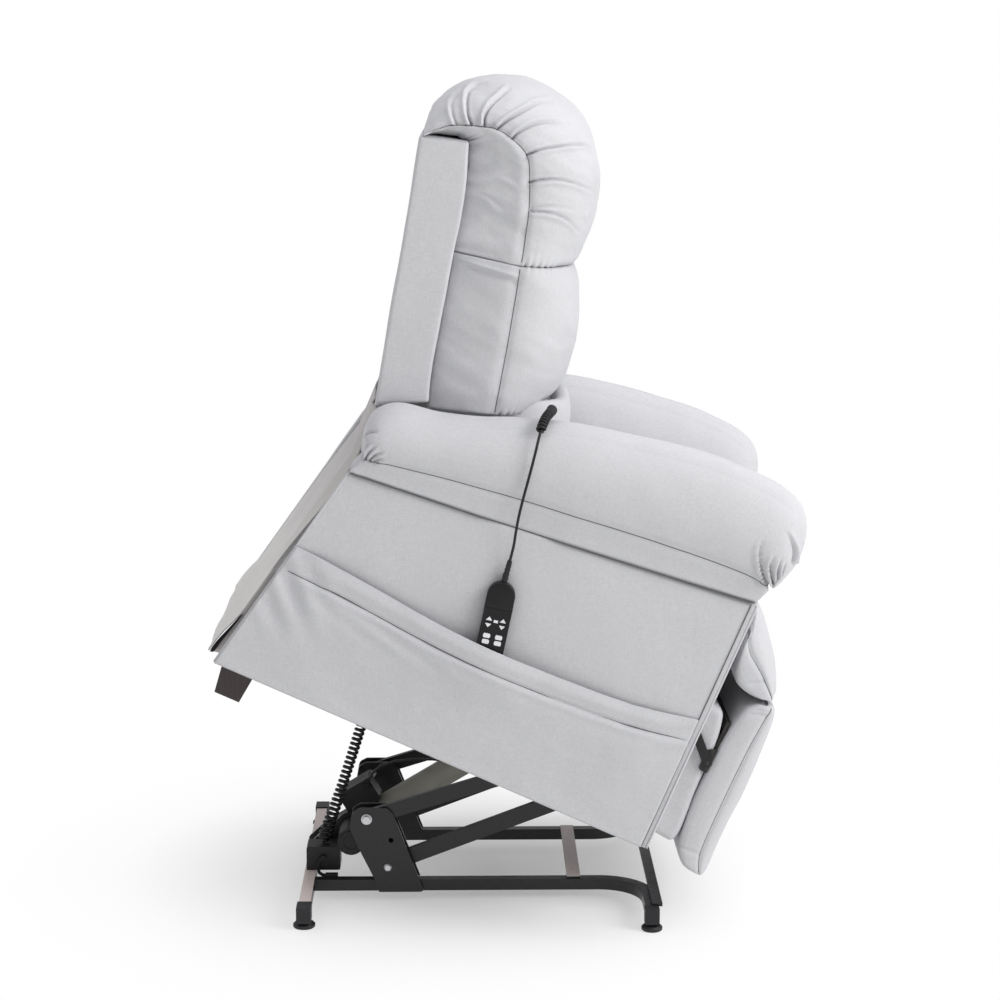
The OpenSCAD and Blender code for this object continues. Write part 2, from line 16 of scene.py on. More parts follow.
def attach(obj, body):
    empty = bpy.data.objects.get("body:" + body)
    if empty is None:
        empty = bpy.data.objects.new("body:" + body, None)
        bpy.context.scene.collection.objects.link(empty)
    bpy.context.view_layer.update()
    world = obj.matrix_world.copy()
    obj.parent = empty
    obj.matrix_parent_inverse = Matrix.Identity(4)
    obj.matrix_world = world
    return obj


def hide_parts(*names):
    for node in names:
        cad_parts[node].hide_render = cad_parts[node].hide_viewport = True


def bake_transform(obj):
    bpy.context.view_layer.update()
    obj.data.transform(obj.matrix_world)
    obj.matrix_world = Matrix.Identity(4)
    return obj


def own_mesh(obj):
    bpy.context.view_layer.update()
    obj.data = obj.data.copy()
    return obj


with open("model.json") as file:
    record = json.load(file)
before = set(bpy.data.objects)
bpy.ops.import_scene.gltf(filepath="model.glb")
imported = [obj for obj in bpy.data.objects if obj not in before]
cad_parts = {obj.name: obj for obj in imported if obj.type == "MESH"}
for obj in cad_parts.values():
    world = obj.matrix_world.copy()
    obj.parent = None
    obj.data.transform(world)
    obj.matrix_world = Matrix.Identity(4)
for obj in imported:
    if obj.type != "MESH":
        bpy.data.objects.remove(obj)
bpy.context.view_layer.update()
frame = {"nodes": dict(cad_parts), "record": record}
SCENE = bpy.context.scene

# ------------------------------------------------------------------ frames
TILT = math.radians(24.32)
SEAT_X, SEAT_Z = -433.0, 485.4              # seat frame origin from the middle of the base, mm
BASE_MIDDLE = np.array([0.295, 0.295, 0.0])  # metres from the world origin


def base_to_world(points):
    """Millimetres from the middle of the base -> world metres."""
    return np.asarray(points, float) / 1000 + BASE_MIDDLE


def to_world(points):
    """Seat frame millimetres (u, y, v) -> world metres."""
    u, y, v = np.moveaxis(np.asarray(points, float), -1, 0)
    x = SEAT_X + u * math.cos(TILT) + v * math.sin(TILT)
    z = SEAT_Z - u * math.sin(TILT) + v * math.cos(TILT)
    return base_to_world(np.stack([x, y, z], -1))


# ------------------------------------------------------------------ curves and profiles
def catmull(points, count=None, at=None):
    """Catmull-Rom curve through points, at count even parameters or at those given."""
    points = np.asarray(points, float)
    last = len(points) - 1
    if at is None:
        at = np.linspace(0, last, count)
    at = np.clip(at, 0, last - 1e-9)
    i = np.floor(at).astype(int)
    f = (at - i)[:, None]
    start = points[i]
    end = points[np.minimum(i + 1, last)]
    before = np.where((i == 0)[:, None], 2 * start - end, points[np.maximum(i - 1, 0)])
    after = np.where((i + 2 > last)[:, None], 2 * end - start, points[np.minimum(i + 2, last)])
    return 0.5 * (2 * start + (-before + end) * f
                  + (2 * before - 5 * start + 4 * end - after) * f * f
                  + (-before + 3 * start - 3 * end + after) * f ** 3)


def arc_lengths(points):
    steps = np.linalg.norm(np.diff(points, axis=0), axis=1)
    return np.concatenate([[0], np.cumsum(steps)])


def even_rails(guide, rails, rows):
    """Parameters that space the guide curve evenly, and each rail sampled at them."""
    fine = np.linspace(0, len(guide) - 1, 400)
    lengths = arc_lengths(catmull(guide, at=fine))
    at = np.interp(np.linspace(0, lengths[-1], rows), lengths, fine)
    return at, *(catmull(rail, at=at) for rail in rails)


def between(start, end, fractions):
    """(u, v) grid: each row runs from a point of start towards the same point of end."""
    return start[:, None] + (end - start)[:, None] * fractions[:, None]


def held(curve, count):
    """(u, v) grid that repeats each point of the curve count times."""
    return np.broadcast_to(curve[:, None], (len(curve), count, 2))


def with_y(uv, y):
    return np.stack([uv[..., 0], np.broadcast_to(y, uv.shape[:2]), uv[..., 1]], -1)


def smooth(start, end, x):
    """0 at start, 1 at end, eased at both; start may be the larger."""
    f = np.clip((x - start) / (end - start), 0, 1)
    return f * f * (3 - 2 * f)


def bell(x, width):
    return np.exp(-(x / width) ** 2)


def fade(distance, reach):
    return np.exp(-distance / reach)


def fbm(points, size, seed):
    """Fractal noise at each point; size in mm."""
    points = np.asarray(points, float)
    places = points.reshape(-1, 3) / size + seed
    roughness, lacunarity, octaves = 1.0, 2.0, 3
    values = [noise.fractal(Vector(p), roughness, lacunarity, octaves) for p in places]
    return np.array(values).reshape(points.shape[:-1])


def outward_normals(grid):
    """Unit normals of a tube of closed loops, turned away from the middle of each loop."""
    along = np.gradient(grid, axis=0)
    around = (np.roll(grid, -1, axis=1) - np.roll(grid, 1, axis=1)) / 2
    normal = np.cross(along, around)
    normal /= np.maximum(np.linalg.norm(normal, axis=-1, keepdims=True), 1e-9)
    from_middle = grid - grid.mean(axis=1, keepdims=True)
    return normal * np.sign(np.sum(normal * from_middle, axis=-1).mean())


def end_rounding(length, radius, depth):
    """How far both ends of a loft draw in, for a column of lengths along it."""
    total = 0.0
    for distance in (length, length[-1] - length):
        x = np.clip(distance / radius, 0, 1)
        total = total + depth * (1 - np.sqrt(np.clip(1 - (1 - x) ** 2, 0, 1)))
    return total


# ------------------------------------------------------------------ meshes
def mesh_object(name, verts, faces, material):
    mesh = bpy.data.meshes.new(name)
    mesh.from_pydata([tuple(v) for v in verts], [], faces)
    mesh.validate()
    ob = bpy.data.objects.new(name, mesh)
    SCENE.collection.objects.link(ob)
    bm = bmesh.new()
    bm.from_mesh(mesh)
    bmesh.ops.remove_doubles(bm, verts=bm.verts, dist=1e-5)
    bmesh.ops.dissolve_degenerate(bm, edges=bm.edges, dist=1e-6)
    bmesh.ops.recalc_face_normals(bm, faces=bm.faces)
    bm.to_mesh(mesh)
    bm.free()
    for polygon in mesh.polygons:
        polygon.use_smooth = True
    mesh.materials.append(material)
    return ob


def tube_faces(rows, columns):
    faces = []
    for i in range(rows - 1):
        for j in range(columns):
            k = (j + 1) % columns
            faces.append((i * columns + j, i * columns + k,
                          (i + 1) * columns + k, (i + 1) * columns + j))
    return faces


def strip_cap(base, count, pair):
    """Faces across a closed loop of count points, joining point i to point pair - i."""
    faces = []
    left = pair // 2
    right = pair - left
    used = right - left + 1
    while count - used >= 2:
        a = base + (left - 1) % count
        b = base + (right + 1) % count
        if left == right:
            faces.append((base + left % count, b, a))
        else:
            faces.append((base + left % count, base + right % count, b, a))
        left -= 1
        right += 1
        used += 2
    if count - used == 1:
        faces.append((base + left % count, base + right % count, base + (right + 1) % count))
    return faces


def loft(name, grid, material, pair=None):
    """Tube of closed loops grid[row, column] in the seat frame, ends capped with strips."""
    rows, columns = grid.shape[:2]
    pair = columns - 1 if pair is None else pair
    faces = tube_faces(rows, columns)
    for base in (0, (rows - 1) * columns):
        faces += strip_cap(base, columns, pair)
    return mesh_object(name, to_world(grid.reshape(-1, 3)), faces, material)


def tube(name, points, radius, material, sides=10, place=to_world):
    """Round tube along points in mm; radius in mm, one value or one per point."""
    points = place(points)
    radius = np.broadcast_to(np.asarray(radius, float) / 1000, (len(points),))
    tangents = np.gradient(points, axis=0)
    tangents /= np.maximum(np.linalg.norm(tangents, axis=1, keepdims=True), 1e-12)
    reference = np.array([0, 1, 0]) if abs(tangents[0][1]) < 0.9 else np.array([1, 0, 0])
    normal = np.cross(tangents[0], reference)
    verts = []
    for point, tangent, size in zip(points, tangents, radius):
        normal = normal - tangent * np.dot(normal, tangent)
        normal /= np.linalg.norm(normal)
        binormal = np.cross(tangent, normal)
        for k in range(sides):
            angle = 2 * math.pi * k / sides
            verts.append(point + (normal * math.cos(angle) + binormal * math.sin(angle)) * size)
    faces = tube_faces(len(points), sides)
    faces.append(tuple(range(sides)))
    faces.append(tuple(range((len(points) - 1) * sides, len(points) * sides)))
    return mesh_object(name, verts, faces, material)


def subdivide(ob):
    modifier = ob.modifiers.new("sub", "SUBSURF")
    modifier.levels = 1
    modifier.render_levels = 1


def vertex_places(mesh):
    places = np.empty(len(mesh.vertices) * 3)
    mesh.vertices.foreach_get("co", places)
    return places.reshape(-1, 3)


def move_vertices(mesh, places):
    mesh.vertices.foreach_set("co", places.ravel())
    mesh.update()


def mirror(ob):
    """Mirror the mesh across the middle plane of the chair."""
    places = vertex_places(ob.data)
    places[:, 1] = 2 * BASE_MIDDLE[1] - places[:, 1]
    ob.data.flip_normals()
    move_vertices(ob.data, places)


def register(ob, body, node=None):
    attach(ob, body)
    if node:
        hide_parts(node)


# ------------------------------------------------------------------ shader nodes
def grey(value):
    return (value,) * 3


def shade(colour, factor):
    return tuple(min(1, c * factor) for c in colour)


class Nodes:
    """Short calls for building a node tree; values may be sockets, numbers or tuples."""

    def __init__(self, tree):
        self.tree = tree

    def add(self, kind, **settings):
        node = self.tree.nodes.new("ShaderNode" + kind)
        for key, value in settings.items():
            setattr(node, key, value)
        return node

    def feed(self, socket, value):
        if isinstance(value, bpy.types.NodeSocket):
            self.tree.links.new(value, socket)
        elif isinstance(value, tuple) and socket.type == "RGBA":
            socket.default_value = (*value, 1)
        else:
            socket.default_value = value

    def set(self, node, values):
        for key, value in values.items():
            self.feed(node.inputs[key], value)

    def coordinates(self, scale=(1, 1, 1), pitch=0.0, location=(0, 0, 0)):
        source = self.add("TexCoord")
        mapping = self.add("Mapping")
        self.set(mapping, {"Vector": source.outputs["Object"], "Location": location,
                           "Rotation": (0, pitch, 0), "Scale": scale})
        return mapping.outputs[0]

    def noise(self, vector, scale, detail=3.0, roughness=0.55):
        node = self.add("TexNoise")
        self.set(node, {"Vector": vector, "Scale": scale, "Detail": detail,
                        "Roughness": roughness})
        return node.outputs["Fac"]

    def ramp(self, factor, *stops):
        """Colour ramp; each stop is (position, colour)."""
        node = self.add("ValToRGB")
        elements = node.color_ramp.elements
        while len(elements) < len(stops):
            elements.new(1.0)
        for element, (position, colour) in zip(elements, stops):
            element.position = position
            element.color = (*colour, 1)
        self.feed(node.inputs["Fac"], factor)
        return node.outputs["Color"]

    def mottle(self, factor, low, high):
        """Ramp over the middle range of a noise."""
        return self.ramp(factor, (0.3, low), (0.7, high))

    def math(self, operation, a, b):
        node = self.add("Math", operation=operation)
        self.feed(node.inputs[0], a)
        self.feed(node.inputs[1], b)
        return node.outputs[0]

    def mix(self, factor, a, b, mode="MIX"):
        node = self.add("Mix", data_type="RGBA", blend_type=mode)
        for index, value in ((0, factor), (6, a), (7, b)):
            self.feed(node.inputs[index], value)
        return node.outputs[2]

    def bevel(self, radius):
        node = self.add("Bevel", samples=4)
        node.inputs["Radius"].default_value = radius
        return node.outputs[0]


class Shader(Nodes):
    """A new material with a Principled surface."""

    def __init__(self, name):
        self.material = bpy.data.materials.new(name)
        self.material.use_nodes = True
        super().__init__(self.material.node_tree)
        self.tree.nodes.clear()
        self.output = self.add("OutputMaterial")
        self.bsdf = self.add("BsdfPrincipled")
        self.feed(self.output.inputs[0], self.bsdf.outputs[0])

    def surface(self, values):
        self.set(self.bsdf, values)

    def roughness(self, factor, low, high):
        self.surface({"Roughness": self.mottle(factor, grey(low), grey(high))})

    def bump(self, height, strength, distance, normal=None):
        node = self.add("Bump")
        self.set(node, {"Strength": strength, "Distance": distance, "Height": height})
        if normal is not None:
            self.feed(node.inputs["Normal"], normal)
        self.surface({"Normal": node.outputs[0]})
        return node.outputs[0]


# ------------------------------------------------------------------ materials
def fabric(name, base, roughness=0.78, painted_light_low_colour=None):
    """Woven cloth; an optional lower colour is painted light: the cloth is blended to it
    towards its lower edge.
    """
    s = Shader(name)
    # cross-hatched slub of the weave, lined up with the seat
    weave_u = s.coordinates(scale=(110, 620, 1300), pitch=TILT)
    weave_v = s.coordinates(scale=(1300, 620, 110), pitch=TILT)
    slub_u = s.noise(weave_u, scale=1.0, detail=2.0)
    slub_v = s.noise(weave_v, scale=1.0, detail=2.0)
    plain = s.coordinates()
    fuzz = s.noise(plain, scale=1500, detail=2.0)
    blotch = s.noise(plain, scale=9)
    slub = s.math("ADD", slub_u, slub_v)
    woven = s.ramp(s.math("MULTIPLY", slub, 0.5), (0.38, shade(base, 0.86)),
                   (0.62, shade(base, 1.08)))
    blotched = s.mottle(blotch, shade(base, 0.95), shade(base, 1.03))
    colour = s.mix(0.35, woven, blotched)
    # painted shade: a little darker in the creases, where ambient occlusion finds them
    occlusion = s.add("AmbientOcclusion", samples=6)
    occlusion.inputs["Distance"].default_value = 0.02
    crease = s.ramp(occlusion.outputs["AO"], (0.25, (0.62, 0.62, 0.63)), (0.85, grey(1)))
    # painted light: the cloth is blended to a lighter colour towards its lower edge
    if painted_light_low_colour is not None:
        source = s.add("TexCoord")
        split = s.add("SeparateXYZ")
        s.feed(split.inputs[0], source.outputs["Generated"])
        height = s.add("MapRange")
        waver = s.math("MULTIPLY", s.math("SUBTRACT", blotch, 0.5), 0.5)
        s.set(height, {"From Min": 0.80, "From Max": 0.28,
                       "Value": s.math("ADD", split.outputs["Z"], waver)})
        colour = s.mix(height.outputs[0], colour, painted_light_low_colour)
    # the painted crease shade is multiplied in at a little over half strength
    colour = s.mix(0.55, colour, s.mix(1.0, colour, crease, "MULTIPLY"))
    s.roughness(blotch, roughness - 0.06, roughness + 0.05)
    s.surface({"Base Color": colour, "Sheen Weight": 0.25, "Sheen Roughness": 0.45,
               "Sheen Tint": (0.95, 0.95, 1.0), "Specular IOR Level": 0.3})
    threads = s.math("ADD", slub, s.math("MULTIPLY", fuzz, 0.9))
    weave = s.bump(threads, strength=0.30, distance=0.0006)
    soft = s.noise(s.coordinates(), scale=38)
    s.bump(soft, strength=0.10, distance=0.004, normal=weave)
    return s.material


def steel(name, base=(0.011, 0.011, 0.012), roughness=0.33, wear=0.35, painted_top_sheen=False):
    """Dark coated steel with worn edges; where asked, its upward faces are painted pale as a
    painted reflection of the light above.
    """
    s = Shader(name)
    plain = s.coordinates()
    patches = s.noise(plain, scale=60, detail=5)
    grain = s.noise(plain, scale=900, detail=2)
    geometry = s.add("NewGeometry")
    bevel = s.bevel(0.0012)
    facing = s.add("VectorMath", operation="DOT_PRODUCT")
    s.feed(facing.inputs[0], bevel)
    s.feed(facing.inputs[1], geometry.outputs["Normal"])
    edge = s.math("SUBTRACT", 1.0, facing.outputs["Value"])
    edge = s.math("MULTIPLY", edge, 6.0)
    edge = s.math("MULTIPLY", edge, patches)
    edge = s.math("MINIMUM", edge, 1.0)
    colour = s.mottle(patches, shade(base, 0.8), shade(base, 1.35))
    colour = s.mix(s.math("MULTIPLY", edge, wear), colour, (0.16, 0.16, 0.165))
    # painted reflection: faces that point up are painted pale, standing in for the light they
    # catch
    if painted_top_sheen:
        split = s.add("SeparateXYZ")
        s.feed(split.inputs[0], geometry.outputs["Normal"])
        upward_sheen = s.math("MULTIPLY", s.math("GREATER_THAN", split.outputs["Z"], 0.7), 0.92)
        colour = s.mix(upward_sheen, colour, (0.86, 0.745, 0.69))
    s.roughness(patches, roughness - 0.06, roughness + 0.08)
    s.surface({"Base Color": colour, "Specular IOR Level": 0.40, "Coat Weight": 0.06,
               "Coat Roughness": 0.22})
    s.bump(grain, strength=0.12, distance=0.0003, normal=bevel)
    return s.material


def plastic(name, base, roughness=0.5, grain=1400, grain_bump=0.15, specular=0.45):
    s = Shader(name)
    plain = s.coordinates()
    patches = s.noise(plain, scale=25, detail=4)
    fine = s.noise(plain, scale=grain, detail=2)
    s.surface({"Base Color": s.mottle(patches, shade(base, 0.9), shade(base, 1.1)),
               "Specular IOR Level": specular})
    s.roughness(patches, roughness - 0.05, roughness + 0.07)
    s.bump(fine, strength=grain_bump, distance=0.0003, normal=s.bevel(0.0012))
    return s.material


def zinc(name, base=(0.62, 0.62, 0.64)):
    """Bright metal with fine drawn lines along x."""
    s = Shader(name)
    patches = s.noise(s.coordinates(), scale=120, detail=4)
    lines = s.noise(s.coordinates(scale=(40, 900, 900)), scale=1, detail=2)
    s.surface({"Metallic": 1.0, "Base Color": s.mottle(patches, shade(base, 0.85), base)})
    s.roughness(patches, 0.24, 0.40)
    s.bump(lines, strength=0.08, distance=0.0002, normal=s.bevel(0.0008))
    return s.material


def timber(name, dark, light, roughness, coat=0.0):
    """Wood with the grain along z: stained dark for the legs, coloured near black for the
    plywood as painted shade.
    """
    s = Shader(name)
    grain = s.coordinates(scale=(14, 14, 1.6))
    fibres = s.noise(grain, scale=4.0, detail=6, roughness=0.6)
    wave = s.add("TexWave", wave_type="BANDS", bands_direction="X")
    s.set(wave, {"Scale": 2.2, "Distortion": 6.0, "Detail": 3.0, "Vector": grain})
    figure = s.math("MULTIPLY", s.math("ADD", fibres, wave.outputs["Fac"]), 0.5)
    s.surface({"Base Color": s.ramp(figure, (0.25, dark), (0.75, light)),
               "Coat Weight": coat, "Coat Roughness": 0.25})
    s.roughness(fibres, roughness - 0.08, roughness + 0.08)
    s.bump(figure, strength=0.12, distance=0.0006, normal=s.bevel(0.0015))
    return s.material


FABRIC = fabric("upholstery_grey", (0.560, 0.562, 0.578))
BACKING = fabric("upholstery_grey_backing", (0.50, 0.475, 0.465), roughness=0.85)
# painted light: the skirt cloth is painted lighter towards its lower edge
SKIRT_CLOTH = fabric("upholstery_skirt_cloth", (0.47, 0.445, 0.435), roughness=0.85,
                     painted_light_low_colour=(0.67, 0.655, 0.625))
# painted shade: near-black cloth for thin sheets that stand in for the shadowed gaps beside the
# skirt
SHADE_CLOTH = fabric("painted_shade_black_cloth", (0.012, 0.012, 0.013), roughness=0.9)
THREAD = plastic("seam_thread", (0.13, 0.13, 0.135), roughness=0.8, grain=3000,
                 grain_bump=0.3, specular=0.1)
STEEL = steel("black_powder_coat")
# painted reflection: this steel has its upward faces painted pale
STEEL_SHEEN_TOP = steel("black_powder_coat_worn_top", painted_top_sheen=True)
# painted shade: darker steel for the footrest linkage, which sits in shadow
LINKAGE = steel("black_linkage_steel", (0.007, 0.007, 0.0075), roughness=0.5, wear=0.15)
BLACK_PLASTIC = plastic("black_moulded_plastic", (0.010, 0.010, 0.012), roughness=0.48)
CABLE = plastic("black_cable_sheath", (0.008, 0.008, 0.009), roughness=0.42, grain=800,
                grain_bump=0.1, specular=0.4)
GREY_PLASTIC = plastic("grey_actuator_plastic", (0.30, 0.29, 0.25))
ZINC = zinc("zinc_plated_steel")
SPRING = zinc("spring_wire", (0.25, 0.25, 0.27))
# painted shade: the plywood is coloured near black so the footrest gap reads dark
PLYWOOD = timber("plywood_painted_dark_as_shade", (0.014, 0.012, 0.011), (0.030, 0.026, 0.023),
                 roughness=0.62)
DARK_WOOD = timber("dark_stained_wood", (0.020, 0.011, 0.009), (0.027, 0.0155, 0.013),
                   roughness=0.46, coat=0.15)
HANDSET = plastic("handset_shell", (0.0075, 0.0075, 0.0085), roughness=0.42, grain=1800,
                  grain_bump=0.2, specular=0.3)
KEYS = plastic("keypad_white", (0.78, 0.78, 0.80), roughness=0.4)

SLOT_MATERIALS = {
    "black_steel": STEEL, "black_plastic": BLACK_PLASTIC, "cable": CABLE, "zinc_steel": ZINC,
    "grey_plastic": GREY_PLASTIC, "spring_steel": SPRING, "plywood": PLYWOOD,
    "dark_wood": DARK_WOOD, "handset_plastic": HANDSET, "key_plastic": KEYS,
    "upholstery": FABRIC}


def dress_cad_pieces():
    """Give every loaded CAD piece the material of its slot."""
    slots = {part["node"]: part.get("material_slot")
             for part in frame["record"].get("subparts", [])}
    for name, ob in frame["nodes"].items():
        if getattr(ob, "data", None) is None:
            continue
        material = SLOT_MATERIALS.get(slots.get(name), STEEL)
        # the rear tube and cross strap get the steel with painted pale tops, a painted
        # reflection
        if name in ("base_rear_tube", "base_cross_strap"):
            material = STEEL_SHEEN_TOP
        # the footrest linkage gets the darker steel: painted shade for the shadow it sits in,
        # which also hides where it meets the ottoman cover
        if name.startswith("footrest_") and material is STEEL:
            material = LINKAGE
        for slot in ob.material_slots:
            slot.material = material


dress_cad_pieces()


# ------------------------------------------------------------------ folds and seams
def line_field(grid, line):
    """For each grid point, against a curve in the side plane: signed distance, place
    along the curve (0..1) and plain distance."""
    points = grid[..., [0, 2]].reshape(-1, 2)
    curve = catmull(line, 24)
    best = np.full(len(points), 1e9)
    sign = np.zeros(len(points))
    place = np.zeros(len(points))
    pieces = len(curve) - 1
    for k in range(pieces):
        start = curve[k]
        run = curve[k + 1] - start
        f = np.clip((points - start) @ run / max(run @ run, 1e-9), 0, 1)
        gap = points - (start + f[:, None] * run)
        distance = np.hypot(gap[:, 0], gap[:, 1])
        turn = run[0] * (points[:, 1] - start[1]) - run[1] * (points[:, 0] - start[0])
        nearer = distance < best
        best[nearer] = distance[nearer]
        sign[nearer] = np.sign(turn[nearer])
        place[nearer] = (k + f[nearer]) / pieces
    return [a.reshape(grid.shape[:2]) for a in (best * sign, place, best)]


def pleat(grid, line, side, height, width=1.0):
    """Overlapped tuck: a ridge on one side of the line, a sharp valley on the line, fading
    towards the tip."""
    offset, place, distance = line_field(grid, line)
    x = offset * side
    fading = np.clip(1.04 - place, 0, 1) ** 0.55 * fade(np.clip(distance - 22, 0, None), 8.0)
    ends = np.where((place <= 0.0) | (place >= 1.0), bell(distance, 3.0), 1.0)
    profile = (1.15 * bell(x - 4.2 * width, 4.2 * width)      # ridge
               - 1.9 * bell(x + 0.6, 2.1 * width)             # valley
               - 0.45 * bell(x + 7 * width, 8.0 * width))     # shallow dip beyond it
    return height * profile * fading * ends


def gathers(distance, period, phase, sharpness):
    """Irregular small gathers along a distance: 0 in the valleys, 1 between."""
    wave = (distance / period + 0.35 * np.sin(distance / (period * 2.7) + phase)
            + 0.25 * np.sin(distance / (period * 1.3) + 2 * phase))
    return np.abs(np.sin(math.pi * wave)) ** sharpness


def edge_gathers(distance, from_end, reach, ridge, valley, **pattern):
    """Gathers that run in from an end and fade over reach."""
    return fade(from_end, reach) * (gathers(distance, **pattern) * ridge - valley)


def top_gathers(grid, length, reach, depth, **pattern):
    """Valleys across y that run down from the upper end."""
    valleys = 1 - gathers(grid[..., 1], **pattern)
    return fade(length[-1] - length, reach) * valleys * depth


def on_gusset(rise):
    return (rise < 0) & (rise > -1.5)


def seam_distance(grid, rise):
    """Distance along each section from the nearer side seam."""
    steps = np.linalg.norm(np.diff(grid, axis=1), axis=-1)
    run = np.concatenate([np.zeros((len(grid), 1)), np.cumsum(steps, axis=1)], axis=1)
    front = rise >= 0
    first = np.argmax(front)
    last = len(rise) - 1 - np.argmax(front[::-1])
    return np.minimum(run - run[:, [first]], run[:, [last]] - run)


def stitching(name, points, body="seat", radius=0.75):
    register(tube(name, points, radius, THREAD, sides=6), body)


# ------------------------------------------------------------------ cushion builders
def pillow(name, seam, crest, rear, rows, half_width, rear_half_width, body, exponent, root,
           relief, columns=96, gusset_columns=12, gusset_bow=2.0, spread=(4.0, 0.6),
           end_radius=16.0, end_depth=12.0):
    """Boxed cushion from three (u, v) curves: a gusset on each side from rear to the seam at
    y = +-half_width, and a panel between the seams crowned out to crest.

    exponent and root shape the crown; spread sets how soon the gusset widens. relief is
    called with the grid, the curve parameter (column), rise (row: -1..0 on the gussets,
    0..1 on the panel, -2 on the rear sheet) and the length along crest (column).
    """
    guide = (np.array(seam, float) + 2 * np.array(crest)) / 3.0
    along, seam, crest, rear = even_rails(guide, (seam, crest, rear), rows)
    length = arc_lengths(crest)[:, None]

    cosine = np.cos(np.linspace(0, math.pi, columns))
    panel_y = -np.sign(cosine) * np.abs(cosine) ** 0.85 * half_width
    off_middle = np.abs(panel_y / half_width)
    crown = np.clip(1 - off_middle ** exponent, 0, 1) ** (1.0 / root)
    up = np.arange(gusset_columns) / gusset_columns
    gusset_y = (rear_half_width
                + (half_width - rear_half_width) * np.minimum(1, up * spread[0]) ** spread[1]
                + gusset_bow * np.sin(math.pi * up))
    across = np.arange(1, 8) / 8
    y = np.concatenate([-gusset_y, panel_y, gusset_y[::-1], rear_half_width * (1 - 2 * across)])
    rise = np.concatenate([up - 1, crown, up[::-1] - 1, np.full(7, -2.0)])
    gusset = between(rear, seam, up)
    uv = np.concatenate([gusset, between(seam, crest, crown), gusset[:, ::-1],
                         held(rear, 7)], axis=1)
    grid = with_y(uv, y)
    normal = outward_normals(grid)

    not_sheet = rise > -1.5
    offset = -end_rounding(length, end_radius, end_depth) * not_sheet
    # groove pulled in along the side seams
    seam_line = with_y(held(seam, len(y)), np.where(y < 0, -half_width, half_width))
    to_seam = np.where(rise >= 0, np.linalg.norm(grid - seam_line, axis=-1),
                       np.abs(rise) * 60)
    offset = offset - 2.6 * bell(to_seam, 5.0) * not_sheet
    offset = offset + relief(grid, along[:, None], rise, length)
    grid = grid + normal * offset[..., None]
    ob = loft(name, grid, FABRIC, pair=2 * gusset_columns + columns - 1)
    for label, column in (("a", gusset_columns), ("b", gusset_columns + columns - 1)):
        points = grid[2:-2, column] + normal[2:-2, column] * 0.1
        stitching(f"{name}_seam_{label}", points, body)
    return ob


def block(name, rear, front, y_range, corner, rows, step, end_radius, end_depth,
          relief=None, material=FABRIC):
    """Upholstered block ruled from the rear (u, v) curve to the front one, with rounded
    corners. relief is called with the grid, the rear-to-front fraction, and a row that is
    true on the flat face at the low y."""
    rear = np.array(rear, float)
    front = np.array(front, float)
    _, rear, front = even_rails((rear + front) / 2, (rear, front), rows)
    y0, y1 = y_range
    depth_steps = max(4, int(np.linalg.norm(front - rear, axis=1).mean() / step))
    y_steps = max(4, int((y1 - y0) / step))
    corner_steps = 4
    loops, fractions = [], []
    for start, end in zip(rear, front):
        run = end - start
        depth = np.linalg.norm(run)
        r = min(corner, depth * 0.45, (y1 - y0) * 0.45)
        flat = [(depth - 2 * r) * k / depth_steps for k in range(depth_steps + 1)]
        wide = [(y1 - y0 - 2 * r) * k / y_steps for k in range(y_steps + 1)]
        angles = [math.pi / 2 * k / corner_steps for k in range(1, corner_steps)]
        turns = [(r * math.sin(angle), r * math.cos(angle)) for angle in angles]
        # (distance from the rear, y) around the section
        section = ([(r + a, y0) for a in flat]
                   + [(depth - r + s, y0 + r - c) for s, c in turns]
                   + [(depth, y0 + r + b) for b in wide]
                   + [(depth - r + c, y1 - r + s) for s, c in turns]
                   + [(depth - r - a, y1) for a in flat]
                   + [(r - s, y1 - r + c) for s, c in turns]
                   + [(0, y1 - r - b) for b in wide]
                   + [(r - c, y0 + r - s) for s, c in turns])
        from_rear, y = np.array(section, float).T
        fraction = from_rear / depth
        uv = start + run * fraction[:, None]
        loops.append(np.stack([uv[:, 0], y, uv[:, 1]], -1))
        fractions.append(fraction)
    grid = np.array(loops)
    normal = outward_normals(grid)
    length = arc_lengths((rear + front) / 2)[:, None]
    offset = -end_rounding(length, end_radius, end_depth)
    if relief is not None:
        low_face = np.arange(grid.shape[1]) <= depth_steps
        offset = offset + relief(grid, np.array(fractions), low_face)
    grid = grid + normal * offset[..., None]
    return loft(name, grid, material, pair=2 * depth_steps + 2 * corner_steps + y_steps)


def uneven(size, seed, amount):
    """Relief of plain noise for a block."""
    return lambda grid, fraction, low_face: fbm(grid, size, seed) * amount


# ------------------------------------------------------------------ back pillows
# (u, v) stations from the lower edge to the upper one
HEAD_SEAM = [(197, 794), (192, 816), (173, 879), (155, 923), (133, 961), (99, 976),
             (70, 980), (49, 975), (29, 968), (0, 955), (-20, 938), (-35, 923)]
HEAD_CREST = [(288, 826), (293, 843), (293, 893), (283, 945), (258, 1001), (210, 1051),
              (155, 1074), (85, 1077), (22, 1049), (-20, 1012), (-39, 968), (-38, 926)]
HEAD_REAR = [(82, 768), (78, 790), (66, 850), (58, 880), (48, 915), (40, 936),
             (34, 944), (26, 944), (14, 944), (-4, 938), (-18, 932), (-30, 924)]
